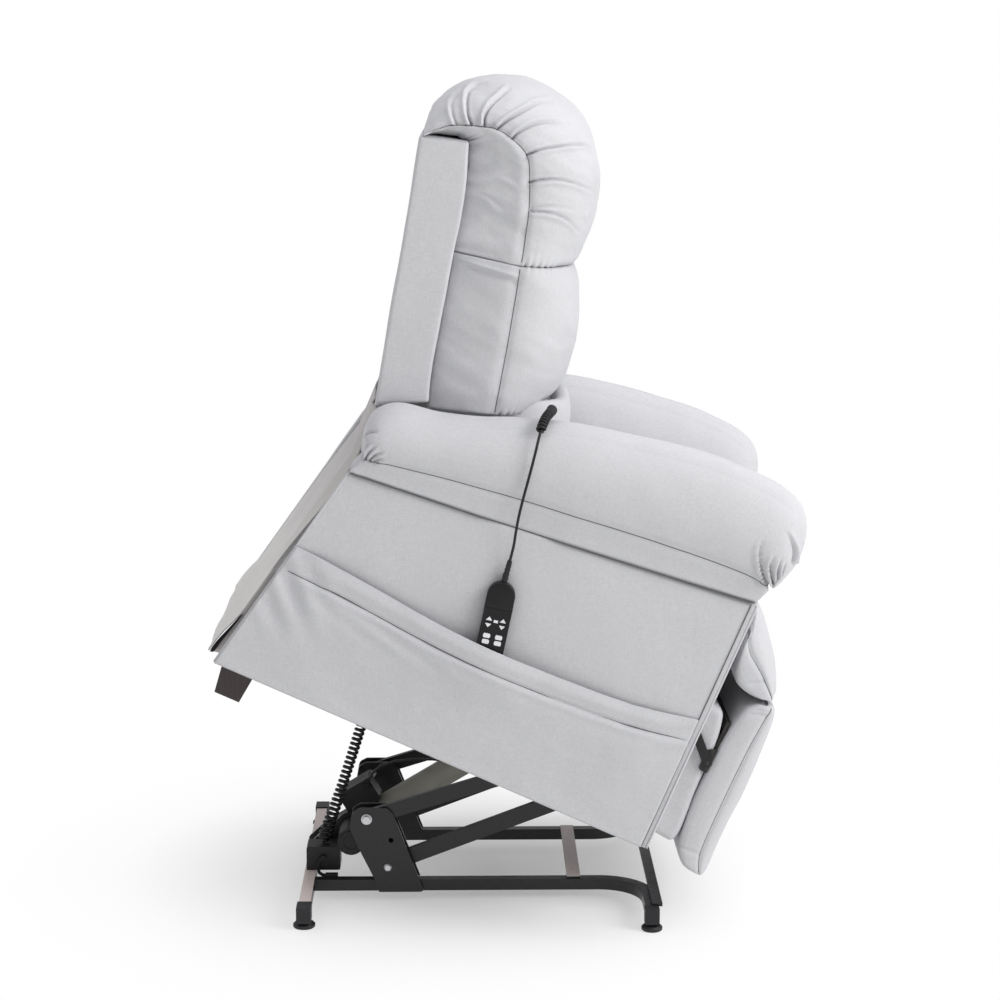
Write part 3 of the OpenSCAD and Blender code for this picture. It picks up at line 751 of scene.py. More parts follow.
# (line from the seam to the tip, side of the ridge, height)
HEAD_PLEATS = [([(29, 969), (14, 986), (3, 1012), (9, 1030), (24, 1041)], 1, 4.6),
               ([(49, 976), (43, 993), (45, 1013), (55, 1036), (63, 1050)], 1, 5.2),
               ([(70, 981), (79, 1000), (98, 1026), (115, 1047), (136, 1060)], 1, 5.4),
               ([(99, 977), (103, 989), (119, 1009), (138, 1022), (168, 1031)], 1, 4.6),
               ([(133, 962), (154, 982), (192, 1005), (217, 1015), (238, 1015)], -1, 4.8),
               ([(155, 923), (172, 935), (197, 946), (226, 951), (262, 950)], -1, 4.8),
               ([(173, 880), (200, 890), (224, 893), (246, 889), (266, 878)], -1, 4.4),
               ([(172, 884), (190, 896), (206, 903), (225, 908), (240, 909)], -1, 2.0),
               ([(8, 958), (-6, 972), (-14, 988), (-12, 1002), (-6, 1012)], 1, 2.4)]
# (line, height) of drag lines on the gussets
HEAD_DRAGS = [([(96, 905), (112, 915), (132, 913), (150, 905)], 2.2),
              ([(78, 868), (98, 874), (120, 868), (140, 860)], 2.0)]
# the tuck where the head and middle pillows meet is gathered alike on both
TUCK = dict(period=12.5, phase=0.4, sharpness=0.55)


def head_relief(grid, along, rise, length):
    front = rise >= 0
    gusset = on_gusset(rise)
    relief = np.zeros(grid.shape[:2])
    on_panel = front * smooth(0.985, 0.90, rise)
    for line, side, height in HEAD_PLEATS:
        relief += on_panel * pleat(grid, line, side, height)
    tuck = edge_gathers(seam_distance(grid, rise), length, reach=8.0, ridge=9.5, valley=7.6,
                        **TUCK)
    relief += np.where(front, tuck, 0)
    swell = fbm(grid * (1, 1, 2.2), 95, 3.1)
    relief += np.where(gusset, swell * 5.0, swell * 2.6)
    # soft puckers that start from the rear edge of the gusset
    puckers = (np.sin(along * 6.2 + 1.3 * np.sin(along * 2.1)) * 1.9
               * smooth(-0.25, -0.85, rise) * smooth(9.0, 5.0, along))
    relief += np.where(gusset, puckers, 0)
    for line, height in HEAD_DRAGS:
        offset, place, _ = line_field(grid, line)
        profile = bell(offset + 5, 5) - 1.1 * bell(offset - 1, 2.6)
        relief += np.where(gusset, height * profile * np.sin(math.pi * place), 0)
    return relief


MIDDLE_SEAM = [(259, 553), (252, 580), (244, 614), (233, 660), (221, 706), (208, 755),
               (197, 793)]
MIDDLE_CREST = [(329, 577), (350, 612), (357, 650), (352, 694), (338, 744), (314, 795),
                (289, 825)]
MIDDLE_REAR = [(153, 515), (142, 548), (126, 604), (115, 652), (103, 701), (90, 748),
               (83, 767)]


def middle_relief(grid, along, rise, length):
    front = rise >= 0
    to_seam = seam_distance(grid, rise)
    lower = edge_gathers(to_seam, length, reach=9.0, ridge=9.5, valley=7.6,
                         period=12.0, phase=1.4, sharpness=0.6)
    upper = edge_gathers(to_seam, length[-1] - length, reach=6.0, ridge=5.0, valley=4.2,
                         **TUCK)
    relief = np.where(front, lower, 0) + np.where(front, upper, 0)
    relief += fbm(grid * (1, 1, 2.0), 140, 7.7) * 3.5
    # a ridge and a valley across the gusset, under the tuck
    fold = (bell(along - 5.55, 0.12) * smooth(-0.95, -0.6, rise)
            - 0.8 * bell(along - 5.25, 0.16) * smooth(-0.9, -0.5, rise))
    return relief + np.where(on_gusset(rise), fold * 4.0, 0)


LUMBAR_SEAM = [(240, 456), (250, 470), (252, 500), (246, 540), (238, 566), (232, 574)]
LUMBAR_CREST = [(384, 460), (402, 490), (405, 535), (396, 580), (376, 610), (350, 600)]
LUMBAR_REAR = [(170, 456), (166, 470), (162, 500), (158, 530), (155, 560), (152, 572)]


def lumbar_relief(grid, along, rise, length):
    top = top_gathers(grid, length, reach=14.0, depth=5.0, period=24.0, phase=0.9,
                      sharpness=0.8)
    return fbm(grid, 130, 11.3) * 4 - np.where(rise >= 0, top, 0)


UPPER_PILLOW = dict(half_width=297, body="back", exponent=2.7, root=2.1, spread=(1.15, 0.85),
                    end_radius=8, end_depth=1.6, gusset_bow=3)


def back_pillows():
    head = pillow("head_pillow_cover", HEAD_SEAM, HEAD_CREST, HEAD_REAR, rows=190,
                  rear_half_width=266, columns=150, gusset_columns=22, relief=head_relief,
                  **UPPER_PILLOW)
    middle = pillow("middle_pillow_cover", MIDDLE_SEAM, MIDDLE_CREST, MIDDLE_REAR, rows=110,
                    rear_half_width=270, columns=140, gusset_columns=18,
                    relief=middle_relief, **UPPER_PILLOW)
    # the lumbar pillow sits between the arms
    lumbar = pillow("lumbar_pillow_cover", LUMBAR_SEAM, LUMBAR_CREST, LUMBAR_REAR, rows=40,
                    half_width=262, rear_half_width=252, body="back", exponent=3.2,
                    root=2.2, relief=lumbar_relief)
    subdivide(lumbar)
    register(head, "back", "head_pillow")
    register(middle, "back", "middle_pillow")
    register(lumbar, "back", "lumbar_pillow")


def back_box():
    ob = block("back_outer_cover", [(74, 479), (45, 588), (16, 706), (-10, 806), (-41, 925)],
               [(152, 523), (134, 580), (96, 736), (71, 848), (36, 947)],
               y_range=(-294, 294), corner=6, rows=60, step=11.0, end_radius=6, end_depth=3,
               relief=uneven(160, 5.0, 2.2))
    subdivide(ob)
    register(ob, "back", "back_shell")


back_pillows()
back_box()

# ------------------------------------------------------------------ arms
# (u, v) stations from the rear end over the top to the front end:
# seam between band and roll, crest of the roll, bottom of the band
ARM_SEAM = [(88, 411), (98, 413), (112, 416), (134, 421), (186, 430), (240, 439), (295, 447),
            (403, 461), (511, 475), (600, 484), (660, 489), (702, 492), (730, 493),
            (750, 492), (765, 491), (776, 489), (783, 487)]
ARM_CREST = [(80, 416), (71, 450), (76, 486), (108, 512), (170, 524), (240, 545), (295, 568),
             (403, 606), (515, 629), (622, 645), (694, 646), (748, 641), (784, 623),
             (804, 590), (811, 550), (806, 514), (795, 492)]
ARM_BOTTOM = [(76, 383), (88, 383), (103, 385), (128, 387), (186, 392.5), (240, 397.5),
              (295, 402.5), (403, 414), (511, 426), (600, 436), (660, 443), (702, 448),
              (727, 451), (744, 453), (757, 455), (766, 456), (771, 456.5)]
# (line from the seam to the tip, side of the ridge, height)
ARM_PLEATS = [([(782, 487), (765, 497), (748, 517), (735, 540), (733, 556)], 1, 4.2),
              ([(784, 494), (771, 510), (763, 524), (762, 540)], 1, 3.8),
              ([(788, 502), (780, 520), (775, 541)], 1, 3.6),
              ([(794, 509), (789, 524), (786, 538)], 1, 3.2),
              ([(801, 541), (795, 557), (784, 570), (768, 582)], -1, 3.6),
              ([(786, 617), (776, 627), (764, 635)], -1, 3.0),
              ([(86, 414), (83, 426), (87, 440)], -1, 3.4),
              ([(92, 413), (93, 425), (99, 440)], -1, 3.4),
              ([(99, 414), (104, 425), (114, 436)], -1, 3.2),
              ([(76, 447), (82, 455), (92, 461)], -1, 2.6),
              ([(107, 415), (115, 424), (128, 431)], -1, 2.4)]
ARM_ROWS, ROLL_COLUMNS, BAND_COLUMNS = 230, 110, 8
ARM_Y, ARM_HALF_WIDTH = -334.0, 63.0     # right arm; the left is its mirror image
SIDES = (("right", -1), ("left", 1))     # label, sign of y


def beside_handset(u):
    """1 where the arm lies flatter beside the handset, 0 away from it."""
    return np.exp(-((u - 372) / 58) ** 4)


def arm(name, side):
    guide = (np.array(ARM_SEAM) + 2 * np.array(ARM_CREST)) / 3.0
    along, seam, crest, bottom = even_rails(guide, (ARM_SEAM, ARM_CREST, ARM_BOTTOM), ARM_ROWS)
    along = along[:, None]
    last = len(ARM_SEAM) - 1
    # the width pulls in a little where the ends are gathered
    fullness = np.clip(np.minimum(along / 2.4, (last - along) / 3.4), 0, 1)
    half = ARM_HALF_WIDTH * (0.88 + 0.12 * fullness ** 0.5)
    flat = beside_handset(bottom[:, :1])

    angle = np.linspace(0, math.pi, ROLL_COLUMNS)
    across = -np.sign(np.cos(angle)) * np.abs(np.cos(angle)) ** 0.78
    roll_rise = np.abs(np.sin(angle)) ** 0.84
    bulge_top = 0.86                         # the roll bulges sideways up to this rise
    swell = np.sin(math.pi * np.minimum(1.0, roll_rise / bulge_top)) ** 0.8
    bulge = np.where(roll_rise < bulge_top, 8.0 * swell * (0.35 + 0.65 * fullness), 0.0)
    roll_y = ARM_Y + across * half + np.sign(across) * bulge

    down = np.arange(1, BAND_COLUMNS + 1) / BAND_COLUMNS
    inner_y = ARM_Y + half - 2 * down
    under = down[:-1]
    under_y = (ARM_Y + half - 2) * (1 - under) + (-388.8 + 2.6 * flat) * under
    up = down[::-1]
    outer_y = ((ARM_Y - half + 1.5 * flat) * (1 - up) + (-389.6 + 3.4 * flat) * up
               + np.sin(math.pi * up))
    uv = np.concatenate([between(seam, crest, roll_rise), between(seam, bottom, down),
                         held(bottom, len(under)), between(seam, bottom, up)], axis=1)
    grid = with_y(uv, np.concatenate([roll_y, inner_y, under_y, outer_y], axis=1))
    rise = np.concatenate([roll_rise, -down, np.full(len(under), -1.0), -up])
    column = np.arange(len(rise))
    on_roll = column < ROLL_COLUMNS
    on_outer = column >= len(rise) - BAND_COLUMNS
    normal = outward_normals(grid)

    relief = np.zeros(grid.shape[:2])
    on_pleats = on_roll * smooth(0.99, 0.9, rise)
    for line, ridge_side, height in ARM_PLEATS:
        relief += on_pleats * pleat(grid, line, ridge_side, height * 1.35, width=0.9)
    # seam groove
    to_seam = np.abs(rise) * np.linalg.norm(crest - seam, axis=1)[:, None]
    relief -= 2.4 * bell(to_seam, 4.0) * on_roll + 1.2 * bell(np.abs(rise), 0.12) * on_outer
    relief += fbm(grid, 170, 2.0 + side) * 3.0 * on_roll
    grid = grid + normal * relief[..., None]

    grid = grid * (1, -side, 1)
    normal = normal * (1, -side, 1)
    ob = loft(name, grid, FABRIC, pair=ROLL_COLUMNS - 1)
    for label, k in (("outer", 0), ("inner", ROLL_COLUMNS - 1)):
        stitching(f"{name}_seam_{label}", grid[2:-2, k] + normal[2:-2, k] * 0.2)
    # along the bottom of the outer band, sunk in beside the handset
    points = grid[2:-2, -BAND_COLUMNS]
    flat = beside_handset(points[:, :1])
    points = (points + np.array([0, 0.5 * side, -1.0]) * (1 - flat)
              + np.array([0, -0.8 * side, 0.0]) * flat)
    stitching(name + "_lower_seam", points, radius=1.1)
    return ob


arms = [(label, arm(label + "_arm_cover", side)) for label, side in SIDES]
for label, cover in arms:
    register(cover, "seat", "arm_pad_" + label)

# ------------------------------------------------------------------ side panels
# (u, v) stations from bottom to top
PANEL_REAR = [(0, 0), (19, 96), (38, 192), (56, 288), (75, 383)]
PANEL_FRONT = [(785, 0), (783.5, 114), (781.5, 228), (779.5, 342), (777.5, 455)]
INNER_REAR = [(20, 2), (39, 97), (58, 193), (76, 289), (95, 384)]
INNER_FRONT = [(779, 2), (777, 114), (775, 228), (773, 342), (771, 453)]
PANEL_FACE_Y = -386                      # outer face of the right panel
PANEL_REAR_RUN, PANEL_REAR_TOP = 75.0, 383
# name, lower (u, v), upper (u, v), distance from the middle, radius, material, sides
PANEL_STRANDS = [("front_seam", (774, 4), (766, 450), 386.4, 0.75, THREAD, 6),
                 ("rear_welt", (1.5, 3), (76.5, 381), 384.2, 2.3, FABRIC, 10),
                 ("front_welt", (783.5, 3), (776, 451), 384.4, 2.3, FABRIC, 10)]


def panel_rear_edge(v):
    return v / PANEL_REAR_TOP * PANEL_REAR_RUN


def side_panel(label, side):
    name = label + "_side_cover"
    depth = 782.0

    def relief(grid, fraction, low_face):
        groove = 1.6 * bell(fraction * depth - (depth - 13), 3.0)
        return fbm(grid, 210, 4.0 + side) * 1.7 - np.where(low_face, groove, 0)

    def place(ob, smoothed=True):
        if side > 0:
            mirror(ob)
        if smoothed:
            subdivide(ob)
        register(ob, "seat")
        return ob

    cover = place(block(name, PANEL_REAR, PANEL_FRONT, (PANEL_FACE_Y, -364), corner=5,
                        rows=64, step=10, end_radius=4, end_depth=2, relief=relief))
    place(block(name + "_inner", INNER_REAR, INNER_FRONT, (-366, -273), corner=6, rows=50,
                step=16, end_radius=8, end_depth=6, relief=uneven(200, 6.0, 1.5)))
    # painted shade: a thin black sheet over the rear face of the inner block, for the shadowed
    # gap behind the panel
    place(block(name + "_lining", [(u - 1.6, v) for u, v in INNER_REAR],
                [(u + 3.0, v) for u, v in INNER_REAR], (-367, -272), corner=2, rows=24,
                step=16, end_radius=3, end_depth=2, material=SHADE_CLOTH), smoothed=False)
    for suffix, (u0, v0), (u1, v1), y, radius, material, sides in PANEL_STRANDS:
        f = np.linspace(0, 1, 60)
        points = np.stack([u0 + (u1 - u0) * f, np.full(60, y * side), v0 + (v1 - v0) * f], -1)
        register(tube(f"{name}_{suffix}", points, radius, material, sides), "seat")
    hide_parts("side_panel_" + label)


for label, side in SIDES:
    side_panel(label, side)

# ------------------------------------------------------------------ side pocket
POCKET_WIDTH = 774
# (distance from the rear edge, v of the hem)
POCKET_HEM = [(0, 235), (48, 234), (110, 229.5), (176, 223.5), (240, 217.5), (300, 213.5),
              (359, 212), (433, 211.5), (500, 211.8), (537, 213), (600, 215.5), (655, 219),
              (720, 229), (767, 238)]
# (distance from the rear edge, depth of the stitching below the hem)
POCKET_STITCH = [(0, 44), (38, 43), (110, 40), (189, 38), (309, 37), (429, 36.5), (548, 36),
                 (655, 36), (767, 40)]


def side_pocket():
    rows, columns = 170, 96
    place = np.linspace(0, 1, rows)[:, None]
    even = np.arange(columns) / (columns - 1)
    up = 1 - (1 - even) ** 1.35
    hem = np.interp(place * POCKET_WIDTH, *np.transpose(POCKET_HEM))
    stitch = np.interp(place * POCKET_WIDTH, *np.transpose(POCKET_STITCH))
    v = 1.5 + (hem - 1.5) * up
    rear = panel_rear_edge(v)
    front = 773.0 - v / 455 * 7
    u = rear + 1.0 + (front - rear - 1.0) * place
    below = hem - v
    inside = smooth(0, 0.13, place) * smooth(1.0, 0.88, place)
    # fullness, most at mid length
    belly = 7.5 + 11.5 * bell(u - 400, 125) * smooth(0.35, 0.8, up)
    bulge = (3.0 + 4.5 * bell(u - 405, 70) * smooth(95, 25, below)
             + inside * smooth(0.02, 0.75, up) * belly)
    # hem roll, groove of the stitching, ridge under it
    bulge += 3.4 * bell(below - stitch * 0.42, stitch * 0.33) * (0.3 + 0.7 * inside)
    bulge -= 3.0 * bell(below - stitch, 3.2) * (0.5 + 0.5 * inside)
    bulge += 1.5 * bell(below - stitch - 9, 6.0) * inside
    # wrinkles: upper rear corner, below the stitching, upper front corner
    bulge += (bell(u - 62, 60) * bell(v - 160, 55)
              * 3.2 * np.sin((u * 0.72 + v * 0.70) / 7.0))
    bulge += (bell(below - stitch - 24, 22) * bell(u - 250, 120)
              * 1.1 * np.sin((u * 0.25 + v * 0.97) / 5.2))
    bulge += (bell(u - 745, 40) * bell(below - 40, 30)
              * 2.0 * np.sin((u * 0.5 - v * 0.86) / 6.5))
    outer = np.stack([u, PANEL_FACE_Y - bulge, v], -1)
    nearest = np.argmin(np.abs(below - stitch), axis=1)
    seam = (outer[np.arange(rows), nearest] + (0, -0.25, 0))[1:-1]

    outer[..., 1] -= fbm(outer, 120, 9.0) * 2.0 * smooth(0, 0.1, even)
    outer[..., 1] = np.minimum(outer[..., 1], PANEL_FACE_Y - 1.6)
    inner = outer.copy()
    inner[..., 1] = np.minimum(outer[..., 1] + 2.6, PANEL_FACE_Y - 0.7)
    ob = loft("side_pocket_cover", np.concatenate([outer, inner[:, ::-1]], axis=1), FABRIC)
    register(ob, "seat", "side_pocket")
    for _ in range(3):
        seam[1:-1] = (seam[:-2] + 2 * seam[1:-1] + seam[2:]) / 4
    stitching("side_pocket_hem_stitching", seam)


side_pocket()


# ------------------------------------------------------------------ front panel and leg pads
def cover(ob, body, node):
    subdivide(ob)
    register(ob, body, node)


def front_panel_relief(grid, fraction, low_face):
    u, v = grid[..., 0], grid[..., 2]
    ripples = np.sin(u / 9.0 + v / 34.0) * bell(v - 40, 50)
    return fbm(grid, 130, 1.3) * 2.4 + ripples * 0.9 * low_face


cover(block("front_panel_cover", [(786, -4), (785, 60), (785, 140), (785, 210), (785, 246)],
            [(847, -8), (852, 26), (847, 110), (843, 190), (830, 246)], (-249, 249),
            corner=12, rows=56, step=8, end_radius=16, end_depth=11,
            relief=front_panel_relief), "seat", "front_panel")

# (u, v) stations of the ottoman from bottom to top
OTTOMAN_SEAM = [(916, -43), (901, -6), (897, 60), (896, 130), (897, 200), (900, 255),
                (903, 274), (901, 285)]
OTTOMAN_CREST = [(935, -41), (938, 0), (938, 70), (938, 140), (934, 205), (925, 255),
                 (916, 275), (904, 286)]
OTTOMAN_REAR = [(883, -40), (860, -8), (850, 50), (847, 120), (849, 190), (857, 250),
                (872, 272), (893, 284)]
LEG_PAD = dict(half_width=249, rear_half_width=245, exponent=5.0, root=2.2, columns=84)


def ottoman_relief(grid, along, rise, length):
    relief = fbm(grid, 150, 21.0) * 3.0
    top = top_gathers(grid, length, reach=26.0, depth=5.0, period=34.0, phase=0.3,
                      sharpness=0.7)
    relief -= np.where(rise >= -1.2, top, 0)
    gusset = on_gusset(rise)
    # slanting creases on the gusset: (place along, width)
    for place, width in ((6.35, 0.10), (5.75, 0.10), (5.2, 0.12)):
        crease = fade(np.abs(along - place - 0.35 * (rise + 0.5)), width)
        relief -= np.where(gusset, 4.0 * crease * smooth(-0.85, -0.4, rise), 0)
    # cross seam low on the gusset
    return relief - np.where(gusset, 2.0 * bell(along - 1.0, 0.05), 0)


cover(pillow("ottoman_cover", OTTOMAN_SEAM, OTTOMAN_CREST, OTTOMAN_REAR, rows=90,
             body="ottoman", relief=ottoman_relief, end_radius=14, end_depth=8, **LEG_PAD),
      "ottoman", "ottoman_pad")

# (u, v) stations of the chaise pad from the seat down to the ottoman
CHAISE_SEAM = [(813, 400), (815, 372), (827, 353), (844, 340), (862, 327), (880, 311),
               (895, 297), (900, 291)]
CHAISE_CREST = [(815, 428), (833, 413), (851, 395), (872, 370), (890, 346), (902, 324),
                (907, 305), (903, 292)]
CHAISE_REAR = [(813, 378), (813, 350), (816, 322), (822, 305), (832, 292), (852, 285),
               (874, 284), (892, 288)]


def chaise_relief(grid, along, rise, length):
    relief = fbm(grid, 120, 31.0) * 3.0
    end = top_gathers(grid, length, reach=24.0, depth=5.5, period=30.0, phase=1.3,
                      sharpness=0.7)
    relief -= np.where(rise >= -1.2, end, 0)
    crease = fade(np.abs(along - 4.6 - 0.5 * rise), 0.10)
    return relief - np.where(on_gusset(rise), 3.5 * crease * smooth(-0.9, -0.3, rise), 0)


cover(pillow("chaise_cover", CHAISE_SEAM, CHAISE_CREST, CHAISE_REAR, rows=70, body="chaise",
             relief=chaise_relief, end_radius=10, end_depth=6, **LEG_PAD),
      "chaise", "chaise_pad")

# ------------------------------------------------------------------ seat cushion
# (u, v) stations from the rear over the top to the front
SEAT_SEAM = [(218, 360), (222, 405), (260, 412), (420, 416), (600, 416), (730, 412),
             (778, 404), (792, 380), (794, 352)]
SEAT_CREST = [(214, 372), (222, 424), (262, 440), (420, 447), (600, 447), (735, 444),
              (790, 430), (804, 396), (806, 360)]
SEAT_UNDERSIDE = [(224, 332), (240, 328), (280, 326), (420, 325), (600, 325), (720, 326),
                  (760, 327), (780, 330), (790, 336)]


def inflate(ob, frames, pressure, limit):
    """Short cloth simulation under pressure; the movement is capped at limit metres."""
    rest = vertex_places(ob.data)
    modifier = ob.modifiers.new("cloth", "CLOTH")
    settings = dict(quality=5, mass=0.3, use_pressure=True, uniform_pressure_force=pressure,
                    tension_stiffness=12.0, compression_stiffness=12.0, shear_stiffness=4,
                    bending_stiffness=0.6, tension_damping=8, compression_damping=8,
                    air_damping=4, shrink_min=0.0)
    for key, value in settings.items():
        setattr(modifier.settings, key, value)
    modifier.settings.effector_weights.gravity = 0
    modifier.collision_settings.use_collision = False
    modifier.collision_settings.use_self_collision = False
    modifier.point_cache.frame_start = 1
    modifier.point_cache.frame_end = frames
    for f in range(1, frames + 1):
        SCENE.frame_set(f)
    evaluated = ob.evaluated_get(bpy.context.evaluated_depsgraph_get())
    moved = vertex_places(evaluated.to_mesh())
    evaluated.to_mesh_clear()
    ob.modifiers.remove(modifier)
    SCENE.frame_set(1)
    shift = moved - rest
    shift = np.where(np.isfinite(shift), shift, 0)
    distance = np.linalg.norm(shift, axis=1, keepdims=True)
    shift *= np.minimum(1.0, limit / np.maximum(distance, 1e-9))
    move_vertices(ob.data, rest + shift)


seat = pillow("seat_cushion_cover", SEAT_SEAM, SEAT_CREST, SEAT_UNDERSIDE, rows=80,
              half_width=264, rear_half_width=258, body="seat", exponent=3.0, root=2.0,
              relief=lambda grid, along, rise, length: fbm(grid, 190, 41.0) * 5.0,
              columns=70, gusset_bow=3, end_depth=0)
inflate(seat, frames=12, pressure=3.0, limit=0.012)
cover(seat, "seat", "seat_cushion")


# ------------------------------------------------------------------ rear skirt
def rear_skirt():
    """Cloth that hangs from the back across the recline hinge."""
    rows, columns = 90, 110
    across = (np.arange(rows) / (rows - 1))[:, None]
    v = (-13 + 492 * np.arange(columns) / (columns - 1))[None, :]
    half = 270 - 6 * smooth(200, 380, v)
    y = -half + 2 * half * across
    off_middle = np.abs(y)
    u = np.where(v < PANEL_REAR_TOP, panel_rear_edge(v),
                 PANEL_REAR_RUN - (v - PANEL_REAR_TOP) * 0.03)
    u = u - 4.0 - 9.0 * smooth(75, 6, v)
    u = u + 11.0 * smooth(215, 270, off_middle) * smooth(170, 330, v)
    # slow waves and noise, calmer near the side edges
    edge = smooth(230, 268, off_middle)
    waves = (1.8 * np.sin(y / 52 + v / 110) * smooth(-10, 120, v)
             + 0.8 * np.sin(y / 34 - v / 190 + 1) + 0.9 * np.sin(y / 120 + v / 95))
    u = u + (1.0 - 0.75 * edge) * waves
    outer = np.stack([u, y, np.broadcast_to(v, y.shape)], -1)
    outer[..., 0] += fbm(outer * (1, 1, 0.6), 170, 51.0) * 3.0 * (1 - 0.7 * edge)
    inner = outer + (2.5, 0, 0)
    ob = loft("rear_skirt_cloth", np.concatenate([outer, inner[:, ::-1]], axis=1),
              SKIRT_CLOTH)
    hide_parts("rear_skirt")
    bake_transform(ob)


def skirt_side(label, side):
    """Narrow curtain at one side edge of the skirt, and beside it a thin black sheet as painted
    shade for the dark gap there.
    """
    curtain = block("skirt_side_curtain_" + label,
                    [(-12, -12), (-7, 12), (9, 58), (19, 104), (28.5, 160)],
                    [(12, -8), (16, 14), (22, 60), (28, 104), (36, 160)], (-272, -268),
                    corner=1.2, rows=26, step=5, end_radius=2, end_depth=1, material=BACKING)
    painted_shade_sheet = block("skirt_side_lining_" + label,
                   [(-12.5, -13), (-8.5, 8), (3, 42), (12, 70)],
                   [(-5, -11), (-1, 10), (7, 42), (14, 70)], (-276, -273),
                   corner=1.2, rows=20, step=4, end_radius=2, end_depth=1, material=SHADE_CLOTH)
    for ob in (curtain, painted_shade_sheet):
        if side > 0:
            mirror(ob)
        register(ob, "seat")


rear_skirt()
for label, side in SIDES:
    skirt_side(label, side)


# ------------------------------------------------------------------ cords and handset
def helix(path, radius, pitch, per_turn=14):
    """Points of a helix around the path, in mm; its ends close in on the path."""
    lengths = arc_lengths(path)
    total = lengths[-1]
    run = np.linspace(0, total, int(total / pitch * per_turn))
    centres = np.stack([np.interp(run, lengths, path[:, k]) for k in range(3)], -1)
    tangents = np.gradient(centres, axis=0)
    tangents /= np.linalg.norm(tangents, axis=1, keepdims=True)
    normal = np.cross(tangents[0], [0, 1, 0.01])
    points = []
    for s, centre, tangent in zip(run, centres, tangents):
        normal = normal - tangent * np.dot(normal, tangent)
        normal /= np.linalg.norm(normal)
        binormal = np.cross(tangent, normal)
        angle = 2 * math.pi * s / pitch
        size = radius * min(1.0, min(s, total - s) / (pitch * 0.8))
        points.append(centre + (normal * math.cos(angle) + binormal * math.sin(angle)) * size)
    return np.array(points)


# (x, y, z) in mm from the middle of the base, from the lower end up under the seat
POWER_CORD_Y = -76
POWER_CORD = [(x, POWER_CORD_Y, z) for x, z in (
    (-272, 82), (-268, 100), (-256, 135), (-243, 172), (-229, 215), (-214, 262), (-193, 330),
    (-173, 396))]


def power_cord():
    path = catmull(POWER_CORD, 80)
    points = helix(path, radius=7.4, pitch=9.0)
    # the loops slacken towards the bottom
    slack = 1 + 0.35 * np.clip((190 - points[:, 2]) / 100, 0, 1)
    middle = np.interp(points[:, 2], path[:, 2], path[:, 0])
    points[:, 0] = middle + (points[:, 0] - middle) * slack
    points[:, 1] = POWER_CORD_Y + (points[:, 1] - POWER_CORD_Y) * slack
    ob = tube("coiled_power_cord", points, 2.9, CABLE, sides=8, place=base_to_world)
    register(ob, "base", "coil_cord")
    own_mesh(ob)


# (u, y, v), from the handset up over the right arm
HANDSET_CORD = [(379, -396, 322), (377.5, -396.5, 332), (375.5, -398, 343),
                (372.5, -401, 360), (368, -405, 383), (361, -408.5, 408),
                (355, -410.5, 432), (350, -411.5, 458), (345.5, -412, 485),
                (341, -411.5, 512), (336.5, -408, 538), (332.5, -399.5, 561),
                (331, -388, 577), (331, -374, 590)]
STRAIN_RELIEF = [(380.4, -396, 315), (378.8, -396, 325), (376.8, -397, 336),
                 (374.6, -399, 349), (373.2, -400.4, 357)]
CORD_COIL = [(331, -394, 569), (330.5, -384, 581), (332, -370, 592), (335.5, -355, 599),
             (339, -338, 603), (338, -320, 602)]


def handset_cord():
    ob = tube("handset_cord_lower", catmull(HANDSET_CORD, 90), 2.3, CABLE, sides=12)
    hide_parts("handset_cord")
    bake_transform(ob)


def strain_relief():
    """Ribbed sleeve that tapers up the cord."""
    f = np.linspace(0, 1, 24)
    radius = 5.3 - 1.2 * f + 0.4 * np.sin(f * math.pi * 14)
    ob = tube("handset_strain_relief", catmull(STRAIN_RELIEF, 24), radius, CABLE, sides=14)
    register(ob, "handset")


def handset_shell():
    """Upper end of the handset shell, with rounded shoulders and softened faces."""
    lean = math.radians(12.4)
    base_u, base_v = 394, 253
    half_width, lowest = 23, 24
    scale_half, scale_height = 23.05, 45.5   # sizes the insets are measured against
    left = [(-half_width, z) for z in (lowest, 32, 40)]
    left += [(-half_width + 22 * (1 - math.cos(a)), 47 + 22.5 * math.sin(a))
             for a in np.linspace(0, math.pi / 2, 12)]
    outline = np.array(left + [(-x, z) for x, z in left[::-1]], float)
    # (y, inset of the outline) from the outer face inwards
    layers = ((-406.25, 2.0), (-405.9, 0.9), (-405.0, 0.25), (-403.5, 0.0), (-391.0, 0.0),
              (-389.2, 0.4), (-388.3, 1.2), (-388.05, 2.0))
    loops = []
    for y, inset in layers:
        x = outline[:, 0] * ((scale_half - inset) / scale_half)
        z = lowest + (outline[:, 1] - lowest) * (scale_height - inset) / scale_height
        loops.append(np.stack([base_u + x * math.cos(lean) - z * math.sin(lean),
                               np.full(len(x), y),
                               base_v + x * math.sin(lean) + z * math.cos(lean)], -1))
    register(loft("handset_shell_top", np.array(loops), HANDSET), "handset")


def cord_coil():
    points = helix(catmull(CORD_COIL, 50), radius=6.2, pitch=5.6, per_turn=16)
    register(tube("handset_cord_coil", points, 2.35, CABLE, sides=8), "seat")


power_cord()
handset_cord()
strain_relief()
handset_shell()
cord_coil()


# ------------------------------------------------------------------ camera, floor, light
def add_camera():
    data = bpy.data.cameras.new("camera")
    data.lens = 90.47
    data.sensor_width = 36
    camera = bpy.data.objects.new("camera", data)
    SCENE.collection.objects.link(camera)
    camera.location = (-0.02484 + BASE_MIDDLE[0], -4.40864 + BASE_MIDDLE[1], 1.45176)
    camera.rotation_euler = (math.radians(90 - 9.8206), 0, math.radians(-0.8986))
    SCENE.camera = camera


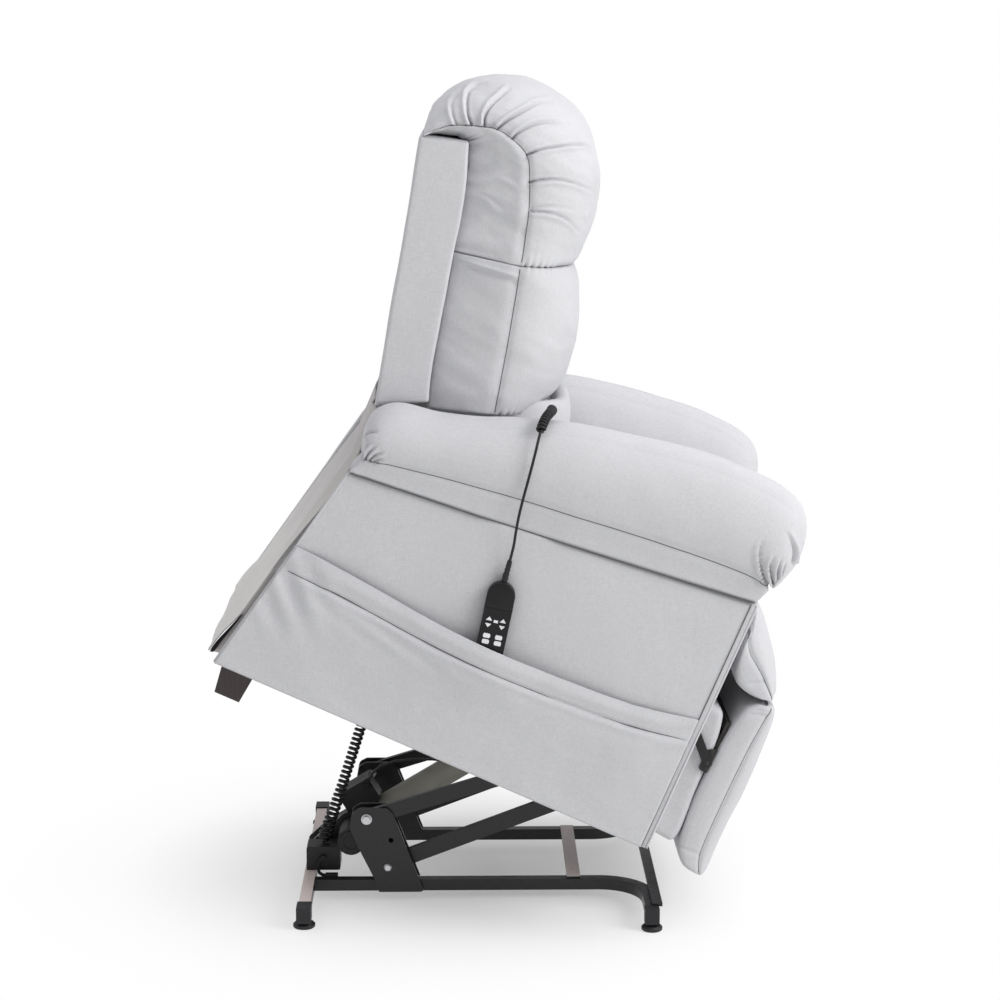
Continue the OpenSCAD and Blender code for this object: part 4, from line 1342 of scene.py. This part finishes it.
def add_floor():
    """Pale floor that brightens to plain white away from the chair."""
    beyond = 8.0                             # the plane is centred this far to +Y
    bpy.ops.mesh.primitive_plane_add(
        size=60, location=(BASE_MIDDLE[0], BASE_MIDDLE[1] + beyond, 0))
    floor = bpy.context.object
    floor.name = "floor"
    s = Shader("pale_floor")
    patches = s.noise(s.coordinates(), scale=3)
    s.surface({"Base Color": s.mottle(patches, grey(0.94), grey(0.96)), "Roughness": 0.9,
               "Specular IOR Level": 0.1})
    distance = s.add("VectorMath", operation="LENGTH")
    s.feed(distance.inputs[0], s.coordinates(location=(-0.02, beyond, 0)))
    whiteness = s.ramp(s.math("MULTIPLY", distance.outputs["Value"], 0.5), (0.0, grey(0.22)),
                       (0.15, grey(0.42)), (0.34, grey(0.92)), (0.46, grey(1)))
    glow = s.add("Emission")
    s.set(glow, {"Color": grey(1), "Strength": 1.0})
    mix = s.add("MixShader")
    for k, value in enumerate((whiteness, s.bsdf.outputs[0], glow.outputs[0])):
        s.feed(mix.inputs[k], value)
    s.feed(s.output.inputs[0], mix.outputs[0])
    floor.data.materials.append(s.material)


def add_world():
    """Plain white to the camera; a soft grey gradient, brighter above, as light."""
    world = bpy.data.worlds.new("studio")
    SCENE.world = world
    world.use_nodes = True
    w = Nodes(world.node_tree)
    seen = w.tree.nodes["Background"]
    w.set(seen, {"Color": grey(1), "Strength": 1.0})
    ambient = w.add("Background")
    source = w.add("TexCoord")
    split = w.add("SeparateXYZ")
    w.feed(split.inputs[0], source.outputs["Generated"])
    height = w.add("MapRange")
    w.set(height, {"From Min": -1, "From Max": 1, "Value": split.outputs["Z"]})
    gradient = w.ramp(height.outputs[0], (0.45, (0.26, 0.26, 0.27)),
                      (0.95, (0.78, 0.78, 0.80)))
    w.feed(ambient.inputs[0], gradient)
    path = w.add("LightPath")
    mix = w.add("MixShader")
    for k, value in enumerate((path.outputs["Is Camera Ray"], ambient.outputs[0],
                               seen.outputs[0])):
        w.feed(mix.inputs[k], value)
    output = next(n for n in w.tree.nodes if n.type == "OUTPUT_WORLD")
    w.feed(output.inputs[0], mix.outputs[0])


def area_light(name, location, target, size, power, colour=(1, 1, 1)):
    """Square area light; places are in metres from the middle of the base."""
    data = bpy.data.lights.new(name, "AREA")
    data.shape = "RECTANGLE"
    data.size = size
    data.size_y = size
    data.energy = power
    data.color = colour
    ob = bpy.data.objects.new(name, data)
    SCENE.collection.objects.link(ob)
    ob.location = Vector(location) + Vector(BASE_MIDDLE)
    aim = Vector(target) - Vector(location)
    ob.rotation_euler = aim.to_track_quat("-Z", "Y").to_euler()


add_camera()
add_floor()
add_world()
area_light("key_light", (3.5, -2.0, 2.5), target=(0, 0, 0.8), size=2.2, power=120,
           colour=(1.0, 0.99, 0.985))
area_light("top_light", (0.9, 0.2, 3.9), target=(0, 0, 0.6), size=2.6, power=38)
SCENE.view_settings.view_transform = "Standard"


def plain(box):
    return [[float(x) for x in row] for row in box]
